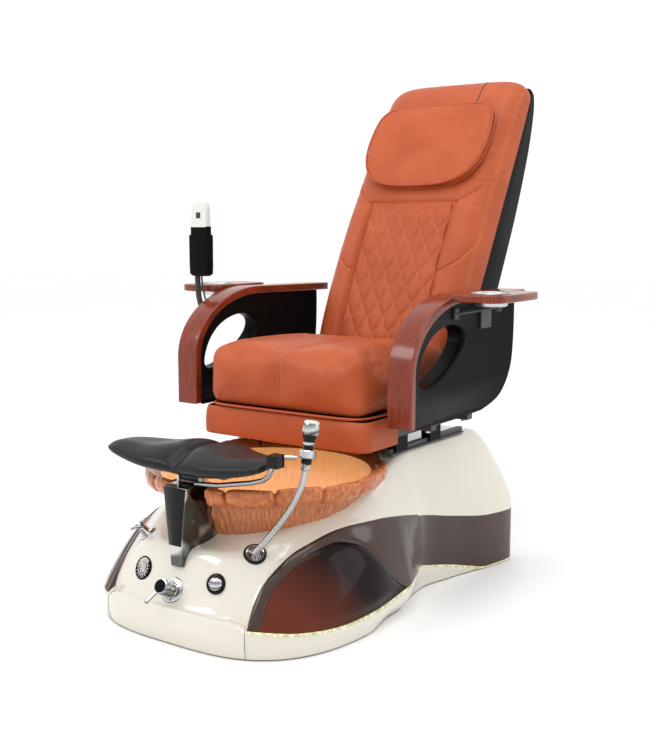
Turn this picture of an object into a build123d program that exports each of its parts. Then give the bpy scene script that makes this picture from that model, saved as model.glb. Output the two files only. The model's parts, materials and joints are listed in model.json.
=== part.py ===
"""Pedicure spa chair: a reclining massage seat that slides on a moulded base with a foot basin.

Millimetres.  +Z up, the sitter faces -Y, +X is the sitter's left hand.
The origin is on the floor, under the middle foot of the base.
"""
from build123d import *
from math import cos, radians, sin, tan
import os

os.makedirs("parts", exist_ok=True)

# ---------------------------------------------------------------- driving dimensions
# base body: a rounded nose lobe in front, a waist, and a wide square rear
LOBE_HALF_WIDTH = 363.0
LOBE_LENGTH = 495.0
LOBE_CENTRE_Y = -53.0
LOBE_POWER = 3.26
REAR_Y = 530.0
REAR_CORNER = 40.0
SKIN = 6.0
# half width of the body along its length behind the lobe's centre
SIDE_STATIONS = [(-53, 363), (10, 345), (130, 303), (250, 325), (392, 365), (470, 380), (530, 383)]
# height of the deck on the centre line, and of the deck's outer edge
DECK_STATIONS = [(-505, 190), (-420, 218), (-349, 246), (-240, 272), (-100, 308), (0, 350), (70, 372)]
EDGE_STATIONS = [(-508, 95), (-494, 174), (-478, 208), (-450, 239), (-410, 258), (-348, 275),
                 (-192, 280), (-47, 258), (79, 218), (235, 185), (392, 160), (530, 158)]
# share of the half width where the deck starts to fall to its edge
SHOULDER_STATIONS = [(-505, 0.90), (-400, 0.84), (-53, 0.82), (60, 0.86), (130, 0.89), (250, 0.84), (400, 0.70)]
DECK_TOP = 372.0

BOWL_Y = -163.0
BOWL_RIM_R = 306.0
BOWL_RIM_Z = 362.0
BOWL_FLOOR_Z = 116.0

SEAT_HALF_WIDTH = 257.0
SEAT_FRONT_Y = -115.0
SEAT_BACK_Y = 345.0
SEAT_BOTTOM_Z = 480.0
SEAT_TOP_Z = 652.0

RAIL_X = 245.0
RAIL_TOP = 389.0

ARM_OUT_X = 379.0
ARM_IN_X = 310.0
PANEL_OUT_X = 371.0
PANEL_IN_X = 318.0
WOOD = 22.0

TRAY_TOP = 792.0
TRAY_THICK = 20.0
TRAY_PIVOT = (405.0, 325.0)
CUP_CENTRE = (457.0, 178.0)

RECLINE = 30.0
HINGE_Y = 395.0
HINGE_Z = 560.0
BACK_TOP = 985.0
BACK_HALF_WIDTH = 250.0
SHELL_HALF_WIDTH = 240.0
HINGE_PLATE_X = 245.0

RUNNING = 0.05
GAP = 0.5


# ---------------------------------------------------------------- helpers
def smooth(t):
    t = min(max(t, 0.0), 1.0)
    return t * t * (3 - 2 * t)


def along(stations, y):
    """Value at y between stations, each a (y, value) pair."""
    if y <= stations[0][0]:
        return stations[0][1]
    for (y0, v0), (y1, v1) in zip(stations, stations[1:]):
        if y <= y1:
            return v0 + (v1 - v0) * (y - y0) / (y1 - y0)
    return stations[-1][1]


def girth(x, y):
    """0 on the centre line (or the lobe's centre), 1 on the base's outline."""
    if y < LOBE_CENTRE_Y:
        across = (abs(x) / LOBE_HALF_WIDTH) ** LOBE_POWER
        ahead = ((LOBE_CENTRE_Y - y) / LOBE_LENGTH) ** LOBE_POWER
        return (across + ahead) ** (1 / LOBE_POWER)
    return abs(x) / along(SIDE_STATIONS, y)


def deck_height(x, y):
    top = along(DECK_STATIONS, y)
    edge = along(EDGE_STATIONS, y)
    start = along(SHOULDER_STATIONS, y)
    return top + (edge - top) * smooth((girth(x, y) - start) / (1.0 - start))


def write(piece, node):
    """Label a finished piece and write its STEP file."""
    piece.label = node
    export_step(piece, f"parts/{node}.step")
    return piece


def write_pair(piece, node):
    """The piece on the +X side is the left one; its mirror image is the right one."""
    write(piece, node + "_left")
    write(mirror(piece, about=Plane.YZ), node + "_right")


def block(x, y, z, mode=Mode.ADD):
    """A box between the low and high value on each axis."""
    middle = ((x[0] + x[1]) / 2, (y[0] + y[1]) / 2, (z[0] + z[1]) / 2)
    with Locations(middle):
        Box(x[1] - x[0], y[1] - y[0], z[1] - z[0], mode=mode)


def rod(start, end, radius, mode=Mode.ADD):
    """A round bar from start to end."""
    run = Vector(*end) - Vector(*start)
    with BuildSketch(Plane(origin=start, z_dir=run)) as section:
        Circle(radius)
    extrude(section.sketch, amount=run.length, mode=mode)


def tube_path(points):
    """Straight runs joined by tangent arcs, and the arcs' radii."""
    radii = []
    for before, corner, after in zip(points, points[1:], points[2:]):
        run_in = Vector(*corner) - Vector(*before)
        run_out = Vector(*after) - Vector(*corner)
        half_turn = radians(run_in.get_angle(run_out)) / 2
        radii.append(0.45 * min(run_in.length, run_out.length) / tan(half_turn))
    print("arc radii", [round(r) for r in radii])
    return radii


# ---------------------------------------------------------------- base body
def body_outline(inset):
    """Plan outline of the base, drawn inset from the outer skin."""
    right = []
    for step in range(13):
        angle = radians(90.0 * step / 12)
        x = (LOBE_HALF_WIDTH - inset) * sin(angle) ** (2 / LOBE_POWER)
        y = LOBE_CENTRE_Y - (LOBE_LENGTH - inset) * max(cos(angle), 0.0) ** (2 / LOBE_POWER)
        right.append((x, y))
    for y, half in SIDE_STATIONS[1:-1]:
        right.append((half - inset, y))
    right.append((SIDE_STATIONS[-1][1] - inset, REAR_Y - inset))
    with BuildSketch() as outline:
        with BuildLine():
            Spline(*right, tangents=[(1, 0), (0, 1)])
            Line(right[-1], (0, REAR_Y - inset))
            mirror(about=Plane.YZ)
        make_face()
        fillet(outline.vertices().group_by(Axis.Y)[-1], REAR_CORNER - inset)
    return outline.sketch


def deck_face(lower):
    """The deck as one smooth surface, lowered by a wall's thickness."""
    grid = []
    for row in range(48):
        y = -570.0 + 1130.0 * row / 47
        grid.append([Vector(x, y, deck_height(x, y) - lower) for x in range(-408, 409, 24)])
    return Face.make_surface_from_array_of_points(grid, tol=0.4)


def body_solid(inset):
    with BuildPart() as body:
        extrude(deck_face(inset), amount=700, dir=(0, 0, -1))
        extrude(body_outline(inset), amount=600, mode=Mode.INTERSECT)
    return body.part


body_outer = body_solid(0)
body_inner = body_solid(SKIN)

# the side panel fills the wall between the sill and the deck's edge
PANEL_FRONT_Y = -506.0
PANEL_TOP = [(-506, 84), (-494, 168), (-478, 202), (-450, 233), (-410, 252), (-348, 269), (-192, 274),
             (-47, 252), (79, 212), (235, 179), (392, 154), (522, 152)]
SILL_TOP = [(522, 6), (380, 6), (316, 20), (155, 54), (0, 60), (-400, 57), (-494, 64)]
STRIP_DEPTH = 7.0

with BuildPart() as side_panel:
    with BuildSketch(Plane.YZ):
        with BuildLine():
            Polyline(*PANEL_TOP, *SILL_TOP, close=True)
        make_face()
    extrude(amount=450)
    add(body_outer, mode=Mode.INTERSECT)
    extrude(body_outline(SKIN), amount=600, mode=Mode.SUBTRACT)

with BuildPart() as light_strip:
    with BuildSketch(Plane.YZ):
        with BuildLine():
            strip_top = SILL_TOP[2:]
            strip_low = [(y, z - STRIP_DEPTH) for y, z in reversed(strip_top)]
            Polyline(*strip_top, *strip_low, close=True)
        make_face()
    extrude(amount=450)
    add(body_outer, mode=Mode.INTERSECT)
    extrude(body_outline(SKIN / 2), amount=600, mode=Mode.SUBTRACT)

write_pair(side_panel.part, "side_panel")

with BuildPart() as light_strips:
    add(light_strip.part)
    mirror(about=Plane.YZ)
write(light_strips.part, "light_strips")

# ---------------------------------------------------------------- bowl
BOWL_WALL = 8.0
BOWL_OUTER = [(152, 116), (178, 138), (213, 200), (232, 255), (268, 325), (306, 350)]
DRAIN_R = 22.0
JET_X = -92.0
JET_R = 34.0

with BuildPart() as bowl:
    with BuildSketch(Plane.XZ.offset(-BOWL_Y)):
        with BuildLine():
            inner = [(r - BOWL_WALL, z + BOWL_WALL) for r, z in reversed(BOWL_OUTER[:-1])]
            rim = [(BOWL_RIM_R, BOWL_RIM_Z), (BOWL_RIM_R - 40, BOWL_RIM_Z - 12)]
            Polyline((0, BOWL_FLOOR_Z), *BOWL_OUTER, *rim, *inner, (0, BOWL_FLOOR_Z + BOWL_WALL), close=True)
        make_face()
    revolve(axis=Axis((0, BOWL_Y, 0), (0, 0, 1)))
    for x, r in ((0, DRAIN_R), (JET_X, JET_R)):
        rod((x, BOWL_Y, 100), (x, BOWL_Y, 140), r, Mode.SUBTRACT)
write(bowl.part, "bowl")

with BuildPart() as bowl_space:
    with BuildSketch(Plane.XZ.offset(-BOWL_Y)):
        with BuildLine():
            wide = [(r + 1.5, z - 1) for r, z in BOWL_OUTER]
            Polyline((0, 114), *wide, (BOWL_RIM_R + 1.5, 500), (0, 500), close=True)
        make_face()
    revolve(axis=Axis((0, BOWL_Y, 0), (0, 0, 1)))

with BuildPart() as bowl_drain:
    rod((0, BOWL_Y, 96), (0, BOWL_Y, 124.2), DRAIN_R - GAP)
    rod((0, BOWL_Y, 124.2), (0, BOWL_Y, 128), DRAIN_R + 8)
    rod((0, BOWL_Y, 70), (0, BOWL_Y, 116), DRAIN_R - 8)
    rod((0, BOWL_Y, 78), (0, BOWL_Y, 129), DRAIN_R - 11, Mode.SUBTRACT)
write(bowl_drain.part, "bowl_drain")

# whirlpool jet: a cup through the bowl floor, an impeller in it and a motor below
with BuildPart() as jet_housing:
    rod((JET_X, BOWL_Y, 98), (JET_X, BOWL_Y, 124.2), JET_R - GAP)
    rod((JET_X, BOWL_Y, 124.2), (JET_X, BOWL_Y, 129), JET_R + 6)
    rod((JET_X, BOWL_Y, 104), (JET_X, BOWL_Y, 130), JET_R - 5, Mode.SUBTRACT)
    rod((JET_X, BOWL_Y, 90), (JET_X, BOWL_Y, 130), 4 + RUNNING, Mode.SUBTRACT)

with BuildPart() as jet_impeller:
    rod((JET_X, BOWL_Y, 70), (JET_X, BOWL_Y, 122), 4)
    rod((JET_X, BOWL_Y, 107), (JET_X, BOWL_Y, 120), 9)
    with Locations((JET_X, BOWL_Y, 113.5)):
        with PolarLocations(14, 6):
            Box(14, 2.5, 11)
write(jet_impeller.part, "jet_impeller")

with BuildPart() as jet_motor:
    add(jet_housing.part)
    rod((JET_X, BOWL_Y, 56), (JET_X, BOWL_Y, 98), 28)
    rod((JET_X, BOWL_Y, 69), (JET_X, BOWL_Y, 99), 4 + RUNNING, Mode.SUBTRACT)
write(jet_motor.part, "jet_motor")

# ---------------------------------------------------------------- inner frame and services
FRAME_X = 215.0
FRAME_LOW = 22.0
FRAME_HIGH = 50.0
FEET = [(0, 0), (-FRAME_X, -330), (FRAME_X, -330), (-FRAME_X, 440), (FRAME_X, 440)]

with BuildPart() as base_frame:
    for x in (-FRAME_X, FRAME_X):
        block((x - 14, x + 14), (-345, 455), (FRAME_LOW, FRAME_HIGH))
        for y in (215, 440):
            block((x - 12, x + 12), (y - 12, y + 12), (FRAME_HIGH, DECK_TOP - SKIN - 1))
    for y in (-330, 0, 215, 440):
        block((-FRAME_X, FRAME_X), (y - 12, y + 12), (FRAME_LOW, FRAME_HIGH))
    with Locations((0, BOWL_Y, 110)):
        Cylinder(142, 8)
        Cylinder(128, 8, mode=Mode.SUBTRACT)
    for x in (-135, 135):
        block((x - 6, x + 6), (BOWL_Y - 8, BOWL_Y + 175), (FRAME_LOW + 8, FRAME_HIGH - 8))
        block((x - 6, x + 6), (BOWL_Y - 8, BOWL_Y + 8), (FRAME_LOW + 8, 106))
    for x, y in FEET:
        rod((x, y, FRAME_LOW - 1), (x, y, FRAME_LOW + 16), 5, Mode.SUBTRACT)
write(base_frame.part, "base_frame")

with BuildPart() as levelling_feet:
    for x, y in FEET:
        rod((x, y, 0), (x, y, 7), 24)
        rod((x, y, 7), (x, y, FRAME_LOW - 2), 9)
        rod((x, y, 7), (x, y, FRAME_LOW + 15), 5)
write(levelling_feet.part, "levelling_feet")

with BuildPart() as drain_pump:
    block((-60, 60), (250, 330), (8, 60))
    rod((0, 290, 60), (0, 290, 110), 30)
    rod((60, 290, 40), (110, 290, 40), 10)
write(drain_pump.part, "drain_pump")

with BuildPart() as control_box:
    block((-150, -40), (350, 420), (8, 70))
    fillet(control_box.edges().filter_by(Axis.Z), 6)
write(control_box.part, "control_box")


# ---------------------------------------------------------------- fittings on the nose
def fitting_plane(x, y, tilt):
    """A plane on the deck at (x, y) whose normal leans forward by tilt degrees."""
    normal = (0, -sin(radians(tilt)), cos(radians(tilt)))
    return Plane(origin=(x, y, deck_height(x, y)), x_dir=(1, 0, 0), z_dir=normal)


def disc(plane, low, high, radius, mode=Mode.ADD):
    """A round slice of a fitting, between two heights above its plane."""
    with BuildSketch(plane.offset(low)) as section:
        Circle(radius)
    extrude(section.sketch, amount=high - low, mode=mode)


MIXER = fitting_plane(0, -520, 58)
BUTTON = fitting_plane(116, -497, 42)
VENT = fitting_plane(-116, -497, 42)
TAP = fitting_plane(-165, -430, 20)
GROMMET = fitting_plane(168, -420, 16)

# flange radius, stem radius and stem depth of each fitting
FITTINGS = [(MIXER, 31, 13, 40), (BUTTON, 24, 15, 32), (VENT, 29, 20, 22), (TAP, 22, 9, 34), (GROMMET, 27, 22, 12)]

with BuildPart() as base_shell:
    add(body_outer)
    add(body_inner, mode=Mode.SUBTRACT)
    add(side_panel.part, mode=Mode.SUBTRACT)
    add(mirror(side_panel.part, about=Plane.YZ, mode=Mode.PRIVATE), mode=Mode.SUBTRACT)
    add(light_strips.part, mode=Mode.SUBTRACT)
    add(bowl_space.part, mode=Mode.SUBTRACT)
    for plane, flange, stem, depth in FITTINGS:
        disc(plane, -1.5, 40, flange + GAP, Mode.SUBTRACT)
        disc(plane, -40, 5, stem + GAP, Mode.SUBTRACT)
write(base_shell.part, "base_shell")

with BuildPart() as mixer_body:
    disc(MIXER, -1, 5, 31)
    disc(MIXER, -40, -1, 13)
    disc(MIXER, 5, 26, 17)
    disc(MIXER, 8, 27, 6 + RUNNING, Mode.SUBTRACT)
write(mixer_body.part, "mixer_body")

with BuildPart() as mixer_handle:
    disc(MIXER, 8.5, 27, 6)
    disc(MIXER, 27, 44, 17)
    lever_start = MIXER.from_local_coords((-8, -10, 36))
    lever_end = MIXER.from_local_coords((-24, -40, 44))
    rod(lever_start, lever_end, 3.2)
write(mixer_handle.part, "mixer_handle")

with BuildPart() as vent_grille:
    disc(VENT, -1, 3, 29)
    disc(VENT, -20, -1, 20)
    disc(VENT, -18, 0, 17, Mode.SUBTRACT)
    with BuildSketch(VENT.offset(-1)):
        with PolarLocations(15, 12):
            SlotOverall(12, 2.4)
    extrude(amount=6, mode=Mode.SUBTRACT)
write(vent_grille.part, "vent_grille")

with BuildPart() as tap_body:
    disc(TAP, -1, 4, 22)
    disc(TAP, -34, -1, 9)
    disc(TAP, 4, 26, 11)
    disc(TAP, 8, 27, 4 + RUNNING, Mode.SUBTRACT)
write(tap_body.part, "tap_body")

with BuildPart() as tap_handle:
    disc(TAP, 9, 27, 4)
    disc(TAP, 27, 36, 13)
    for end in ((26, 12), (-26, -12)):
        rod(TAP.from_local_coords((0, 0, 31)), TAP.from_local_coords((*end, 33)), 3.4)
write(tap_handle.part, "tap_handle")

with BuildPart() as button_bezel:
    disc(BUTTON, -1, 5, 24)
    disc(BUTTON, -32, -1, 15)
    disc(BUTTON, -8, 6, 13 + GAP, Mode.SUBTRACT)
write(button_bezel.part, "button_bezel")

with BuildPart() as jet_button:
    disc(BUTTON, -4, 9, 13)
    fillet(jet_button.faces().sort_by(SortBy.DISTANCE)[-1].edges(), 1)
write(jet_button.part, "jet_button")

with BuildPart() as hose_grommet:
    disc(GROMMET, -1, 4, 27)
    disc(GROMMET, -5, -1, 22)
    disc(GROMMET, -6, 6, 19.5, Mode.SUBTRACT)
write(hose_grommet.part, "hose_grommet")

# ---------------------------------------------------------------- foot rest
POST_FRONT_Y = -505.0
POST_TOP_Z = 362.0
AXLE_Y = -445.0
AXLE_Z = 376.0
BAR_Y = -476.0

with BuildPart() as pedestal:
    with BuildSketch(Plane.XY.offset(150)):
        with BuildLine():
            Polyline((-18, -505), (18, -505), (30, -352), (-30, -352), close=True)
        make_face()
    with BuildSketch(Plane.XY.offset(POST_TOP_Z)):
        with BuildLine():
            Polyline((-36, -505), (36, -505), (40, -425), (-40, -425), close=True)
        make_face()
    loft()
    offset(amount=-3, openings=pedestal.faces().sort_by(Axis.Z)[0])
    add(body_outer, mode=Mode.SUBTRACT)
    add(bowl_space.part, mode=Mode.SUBTRACT)
    for x in (-34, 34):
        block((x - 3, x + 3), (AXLE_Y - 14, AXLE_Y + 14), (POST_TOP_Z - 2, AXLE_Z + 9))
    rod((-42, AXLE_Y, AXLE_Z), (42, AXLE_Y, AXLE_Z), 6)
write(pedestal.part, "pedestal")

with BuildPart() as pedestal_front:
    with BuildSketch(Plane.XZ.offset(505)):
        with BuildLine():
            Polyline((-21, 232), (21, 232), (35.5, POST_TOP_Z), (-35.5, POST_TOP_Z), close=True)
        make_face()
    extrude(amount=3)
write(pedestal_front.part, "pedestal_front")

with BuildPart() as footrest_bracket:
    rod((-28, AXLE_Y, AXLE_Z), (28, AXLE_Y, AXLE_Z), 10)
    block((-28, 28), (AXLE_Y - 8, AXLE_Y + 8), (AXLE_Z, 391))
    block((-120, 120), (AXLE_Y - 26, AXLE_Y + 40), (390, 394))
    rod((-30, AXLE_Y, AXLE_Z), (30, AXLE_Y, AXLE_Z), 6 + RUNNING, Mode.SUBTRACT)
write(footrest_bracket.part, "footrest_bracket")

with BuildPart() as footrest_pad:
    with BuildSketch(Plane.XY.offset(394)):
        with BuildLine():
            Spline((0, -522), (90, -518), (190, -500), (231, -460), (200, -415), (120, -350), (50, -314), (0, -306),
                   tangents=[(1, 0), (-1, 0)])
            mirror(about=Plane.YZ)
        make_face()
    extrude(amount=56)
    fillet(footrest_pad.faces().sort_by(Axis.Z)[-1].edges(), 12)
    with BuildSketch(Plane.XZ.offset(-100)):
        with BuildLine():
            Polyline((124, 390), (240, 390), (240, 421), close=True)
        make_face()
        mirror(about=Plane.YZ)
    extrude(amount=700, mode=Mode.SUBTRACT)
write(footrest_pad.part, "footrest_pad")

# ---------------------------------------------------------------- hand shower
SHOWER_LEAN = 14.0
SHOWER_END = Vector(300, -408, 425)
SHOWER_AXIS = Vector(0, sin(radians(SHOWER_LEAN)), cos(radians(SHOWER_LEAN)))
SHOWER = Plane(origin=SHOWER_END, x_dir=(1, 0, 0), z_dir=SHOWER_AXIS)

with BuildPart() as handset:
    disc(SHOWER, 0.3, 14, 9)
    disc(SHOWER, 14, 58, 12)
    with BuildSketch(SHOWER.offset(58)):
        Circle(12)
    with BuildSketch(SHOWER.offset(84)):
        Circle(19)
    loft()
    disc(SHOWER, 84, 104, 19)
    disc(SHOWER, 104, 110, 15)
write(handset.part, "handset")

with BuildPart() as handset_holder:
    bar_route = [(37, BAR_Y, 370), (110, BAR_Y, 377), (200, BAR_Y, 396), (238, BAR_Y, 408), (256, BAR_Y, 422),
                 (258, BAR_Y, 440)]
    for start, end in zip(bar_route, bar_route[1:]):
        rod(start, end, 5)
        with Locations(end):
            Sphere(5)
    block((250, 276), (BAR_Y - 7, BAR_Y + 26), (436, 466))
    with BuildSketch(SHOWER.offset(28)):
        with Locations((-18, -10)):
            Rectangle(16, 10)
        Circle(19)
        Circle(12 + GAP, mode=Mode.SUBTRACT)
        with Locations((12, -12)):
            Rectangle(16, 14, rotation=-45, mode=Mode.SUBTRACT)
    extrude(amount=16)
    block((262, 290), (BAR_Y + 16, BAR_Y + 64), (452, 462), Mode.ADD)
    disc(SHOWER, -2, 80, 12 + GAP, Mode.SUBTRACT)
    block((20, 44), (BAR_Y - 10, BAR_Y + 10), (360, 370), Mode.SUBTRACT)
write(handset_holder.part, "handset_holder")

HOSE_R = 7.5
HOSE_ROUTE = [(148, -417, 199), (176, -422, 226), (204, -425, 254), (231, -426, 284), (256, -425, 316),
              (276, -422, 346), (291, -418, 376), (300, -413.3, 403.7), (300, -408, 425)]

with BuildPart() as shower_hose:
    with BuildLine() as hose_line:
        FilletPolyline(*HOSE_ROUTE, radius=tube_path(HOSE_ROUTE))
    with BuildSketch(Plane(origin=hose_line.wire() @ 0, z_dir=hose_line.wire() % 0)):
        Circle(HOSE_R)
    sweep()
write(shower_hose.part, "shower_hose")

with BuildPart() as hose_tail:
    start = Vector(*HOSE_ROUTE[0])
    heading = (start - Vector(*HOSE_ROUTE[1])).normalized()
    elbow = start + heading * 26
    rod(start, elbow, 9)
    rod(elbow, (elbow.X + 60, elbow.Y - 8, 100), 7)
    with Locations((245, -345, 70)):
        Torus(52, 16)
    rod((elbow.X + 60, elbow.Y - 8, 100), (225, -384, 80), 7)
write(hose_tail.part, "hose_tail")

# ---------------------------------------------------------------- slide under the seat
with BuildPart() as slide_rails:
    for x in (-RAIL_X, RAIL_X):
        block((x - 13, x + 13), (30, 430), (DECK_TOP, DECK_TOP + 5))
        block((x - 8, x + 8), (30, 430), (DECK_TOP + 5, RAIL_TOP))
    add(body_outer, mode=Mode.SUBTRACT)
write(slide_rails.part, "slide_rails")

with BuildPart() as actuator_tube:
    rod((0, 282, 402), (0, 500, 402), 13)
    rod((0, 281, 402), (0, 492, 402), 7.5 + RUNNING, Mode.SUBTRACT)
    block((-20, 20), (440, 500), (DECK_TOP, 392))
    add(body_outer, mode=Mode.SUBTRACT)
write(actuator_tube.part, "actuator_tube")

FRAME_Z = (418.0, 462.0)
SEAT_ARM_Y = (70.0, 270.0)

with BuildPart() as seat_frame:
    for x in (-RAIL_X, RAIL_X):
        block((x - 14, x + 14), (-66, 405), FRAME_Z)
    for y in (-58, 150, 300):
        block((-RAIL_X, RAIL_X), (y - 12, y + 12), FRAME_Z)
    for y in SEAT_ARM_Y:
        block((-358, 358), (y - 14, y + 14), (444, 462))
    block((-14, 14), (146, 158), (390, FRAME_Z[0]))
    for side in (-1, 1):
        plate = sorted((side * HINGE_PLATE_X, side * (HINGE_PLATE_X + 8)))
        block(plate, (377, 413), (FRAME_Z[0], HINGE_Z))
        rod((plate[0], HINGE_Y, HINGE_Z), (plate[1], HINGE_Y, HINGE_Z), 18)
    rod((-260, HINGE_Y, HINGE_Z), (260, HINGE_Y, HINGE_Z), 8, Mode.SUBTRACT)
write(seat_frame.part, "seat_frame")

with BuildPart() as slide_shoes:
    for x in (-RAIL_X, RAIL_X):
        for y in (50, 230):
            block((x - 14, x + 14), (y, y + 60), (RAIL_TOP + 0.4, FRAME_Z[0]))
            for edge in (x - 14, x + 9.4):
                block((edge, edge + 4.6), (y, y + 60), (DECK_TOP + 6, FRAME_Z[0]))
write(slide_shoes.part, "slide_shoes")

with BuildPart() as actuator_rod:
    rod((0, 158, 402), (0, 365, 402), 7.5)
write(actuator_rod.part, "actuator_rod")

with BuildPart() as recline_drive:
    rod((-255, HINGE_Y, HINGE_Z), (255, HINGE_Y, HINGE_Z), 8)
    block((-60, 60), (316, 378), (424, 462))
    rod((60, 347, 443), (120, 347, 443), 17)
write(recline_drive.part, "recline_drive")

with BuildPart() as seat_pan:
    block((-245, 245), (-98, 335), (462, 479.5))
write(seat_pan.part, "seat_pan")

with BuildPart() as seat_cushion:
    block((-SEAT_HALF_WIDTH, SEAT_HALF_WIDTH), (SEAT_FRONT_Y, SEAT_BACK_Y), (SEAT_BOTTOM_Z, SEAT_TOP_Z))
    fillet(seat_cushion.edges().filter_by(Axis.Z), 40)
    fillet(seat_cushion.faces().sort_by(Axis.Z)[-1].edges(), 36)
write(seat_cushion.part, "seat_cushion")

with BuildPart() as seat_skirt:
    with BuildSketch(Plane.XY.offset(405)):
        with Locations((0, -38)):
            RectangleRounded(540, 156, 30)
            RectangleRounded(524, 140, 6, mode=Mode.SUBTRACT)
        with Locations((0, 60)):
            Rectangle(600, 80, mode=Mode.SUBTRACT)
    extrude(amount=74)
    block((-600, 600), (-70, 100), (479, 520), Mode.SUBTRACT)
write(seat_skirt.part, "seat_skirt")

# ---------------------------------------------------------------- arms
ARM_FRONT_Y = -82.0
ARM_BOTTOM_Z = 470.0
ARM_TOP_Z = 788.0
ARM_REAR_Y = 563.0
ARM_BEND_LONG = 280.0
ARM_BEND_HIGH = 190.0
EYE = [(-38, 566), (-22, 628), (20, 676), (75, 702), (135, 712), (192, 700), (208, 674), (182, 638), (110, 592),
       (30, 563)]


def arm_bend(inset):
    """Quarter of an ellipse from the upright front of the arm to its level top."""
    centre = (ARM_FRONT_Y + ARM_BEND_LONG, ARM_TOP_Z - ARM_BEND_HIGH)
    return EllipticalCenterArc(centre, ARM_BEND_LONG - inset, ARM_BEND_HIGH - inset, start_angle=90, arc_size=90)


def arm_edge(inset):
    """The foot, the start of the bend, its end and the rear end of the arm."""
    front = ARM_FRONT_Y + inset
    top = ARM_TOP_Z - inset
    bend_low = ARM_TOP_Z - ARM_BEND_HIGH
    bend_rear = ARM_FRONT_Y + ARM_BEND_LONG
    return [(front, ARM_BOTTOM_Z), (front, bend_low), (bend_rear, top), (ARM_REAR_Y, top - 4)]


with BuildPart() as arm_wood:
    with BuildSketch(Plane.YZ.offset(ARM_IN_X)):
        with BuildLine():
            outer = arm_edge(0)
            inner = arm_edge(WOOD)
            arm_bend(0)
            arm_bend(WOOD)
            Line(outer[0], outer[1])
            Polyline(outer[2], outer[3], inner[3], inner[2])
            Polyline(inner[1], inner[0], outer[0])
        make_face()
    extrude(amount=ARM_OUT_X - ARM_IN_X)
write_pair(arm_wood.part, "arm_wood")

with BuildPart() as arm_panel:
    with BuildSketch(Plane.YZ.offset(PANEL_IN_X)):
        with BuildLine():
            edge = arm_edge(WOOD + 0.2)
            arm_bend(WOOD + 0.2)
            Polyline(edge[2], (500, ARM_TOP_Z - WOOD - 4), (496, 590))
            Spline((496, 590), (417, 498), (306, 474), tangents=[(-0.3, -1), (-1, 0)])
            Polyline((306, 474), (edge[0][0], 474), edge[1])
        make_face()
        with BuildLine():
            Spline(*EYE, periodic=True)
        make_face(mode=Mode.SUBTRACT)
    extrude(amount=PANEL_OUT_X - PANEL_IN_X)
    block((322, 366), (SEAT_ARM_Y[0] - 30, SEAT_ARM_Y[1] + 22), (462, 475))
write_pair(arm_panel.part, "arm_panel")

with BuildPart() as arm_bolts:
    for x in (-340, 340):
        for y in SEAT_ARM_Y:
            rod((x, y, 438), (x, y, 444), 7)
write(arm_bolts.part, "arm_bolts")

# ---------------------------------------------------------------- trays
with BuildPart() as tray_bracket:
    block((PANEL_OUT_X, PANEL_OUT_X + 6), (290, 350), (690, 760))
    block((PANEL_OUT_X + 6, TRAY_PIVOT[0]), (316, 334), (738, 756))
    rod((*TRAY_PIVOT, 736), (*TRAY_PIVOT, 771.5), 12)
    rod((*TRAY_PIVOT, 771.5), (*TRAY_PIVOT, 786), 5)
    rod((PANEL_OUT_X + 4, 150, 738), (*TRAY_PIVOT, 746), 4)
    block((PANEL_OUT_X, PANEL_OUT_X + 6), (140, 162), (724, 752))

with BuildPart() as tray_brackets:
    add(tray_bracket.part)
    mirror(about=Plane.YZ)
write(tray_brackets.part, "tray_brackets")

with BuildPart() as tray:
    with BuildSketch(Plane.XY.offset(TRAY_TOP - TRAY_THICK)):
        with Locations((457, 210)):
            RectangleRounded(138, 260, 16)
            with Locations((0, -8)):
                Ellipse(76, 128)
    extrude(amount=TRAY_THICK)
    rod((*CUP_CENTRE, 760), (*CUP_CENTRE, 800), 45, Mode.SUBTRACT)
    rod((*TRAY_PIVOT, 770), (*TRAY_PIVOT, 787), 5 + RUNNING, Mode.SUBTRACT)
write_pair(tray.part, "tray")

with BuildPart() as cup_ring:
    rod((*CUP_CENTRE, TRAY_TOP), (*CUP_CENTRE, TRAY_TOP + 3), 52)
    rod((*CUP_CENTRE, TRAY_TOP - 34), (*CUP_CENTRE, TRAY_TOP), 45 - 0.2)
    rod((*CUP_CENTRE, TRAY_TOP - 31), (*CUP_CENTRE, TRAY_TOP + 4), 42, Mode.SUBTRACT)
write_pair(cup_ring.part, "cup_ring")

# ---------------------------------------------------------------- remote control on its stalk
REMOTE_X = -402.0
REMOTE_Y = 50.0

with BuildPart() as remote_holder:
    block((REMOTE_X - 34, REMOTE_X + 34), (REMOTE_Y - 15, REMOTE_Y + 15), (828, 940))
    fillet(remote_holder.edges().filter_by(Axis.Z), 6)
    block((REMOTE_X - 31, REMOTE_X + 31), (REMOTE_Y - 12, REMOTE_Y + 12), (833, 950), Mode.SUBTRACT)
    rod((REMOTE_X, REMOTE_Y, 820), (REMOTE_X, REMOTE_Y, 834), 5, Mode.SUBTRACT)
write(remote_holder.part, "remote_holder")

with BuildPart() as remote_stalk:
    block((-383, -PANEL_OUT_X), (REMOTE_Y - 18, REMOTE_Y + 12), (700, 724))
    with BuildLine() as stalk_line:
        Spline((-383, REMOTE_Y - 3, 712), (-404, REMOTE_Y - 3, 730), (-415, REMOTE_Y - 2, 775),
               (REMOTE_X - 18, REMOTE_Y, 828), tangents=[(-1, 0, 0.2), (-0.1, 0, 1)])
    with BuildSketch(Plane(origin=stalk_line.wire() @ 0, z_dir=stalk_line.wire() % 0)):
        Circle(8)
    sweep()
    block((-500, -300), (0, 100), (828, 860), Mode.SUBTRACT)
write(remote_stalk.part, "remote_stalk")

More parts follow.
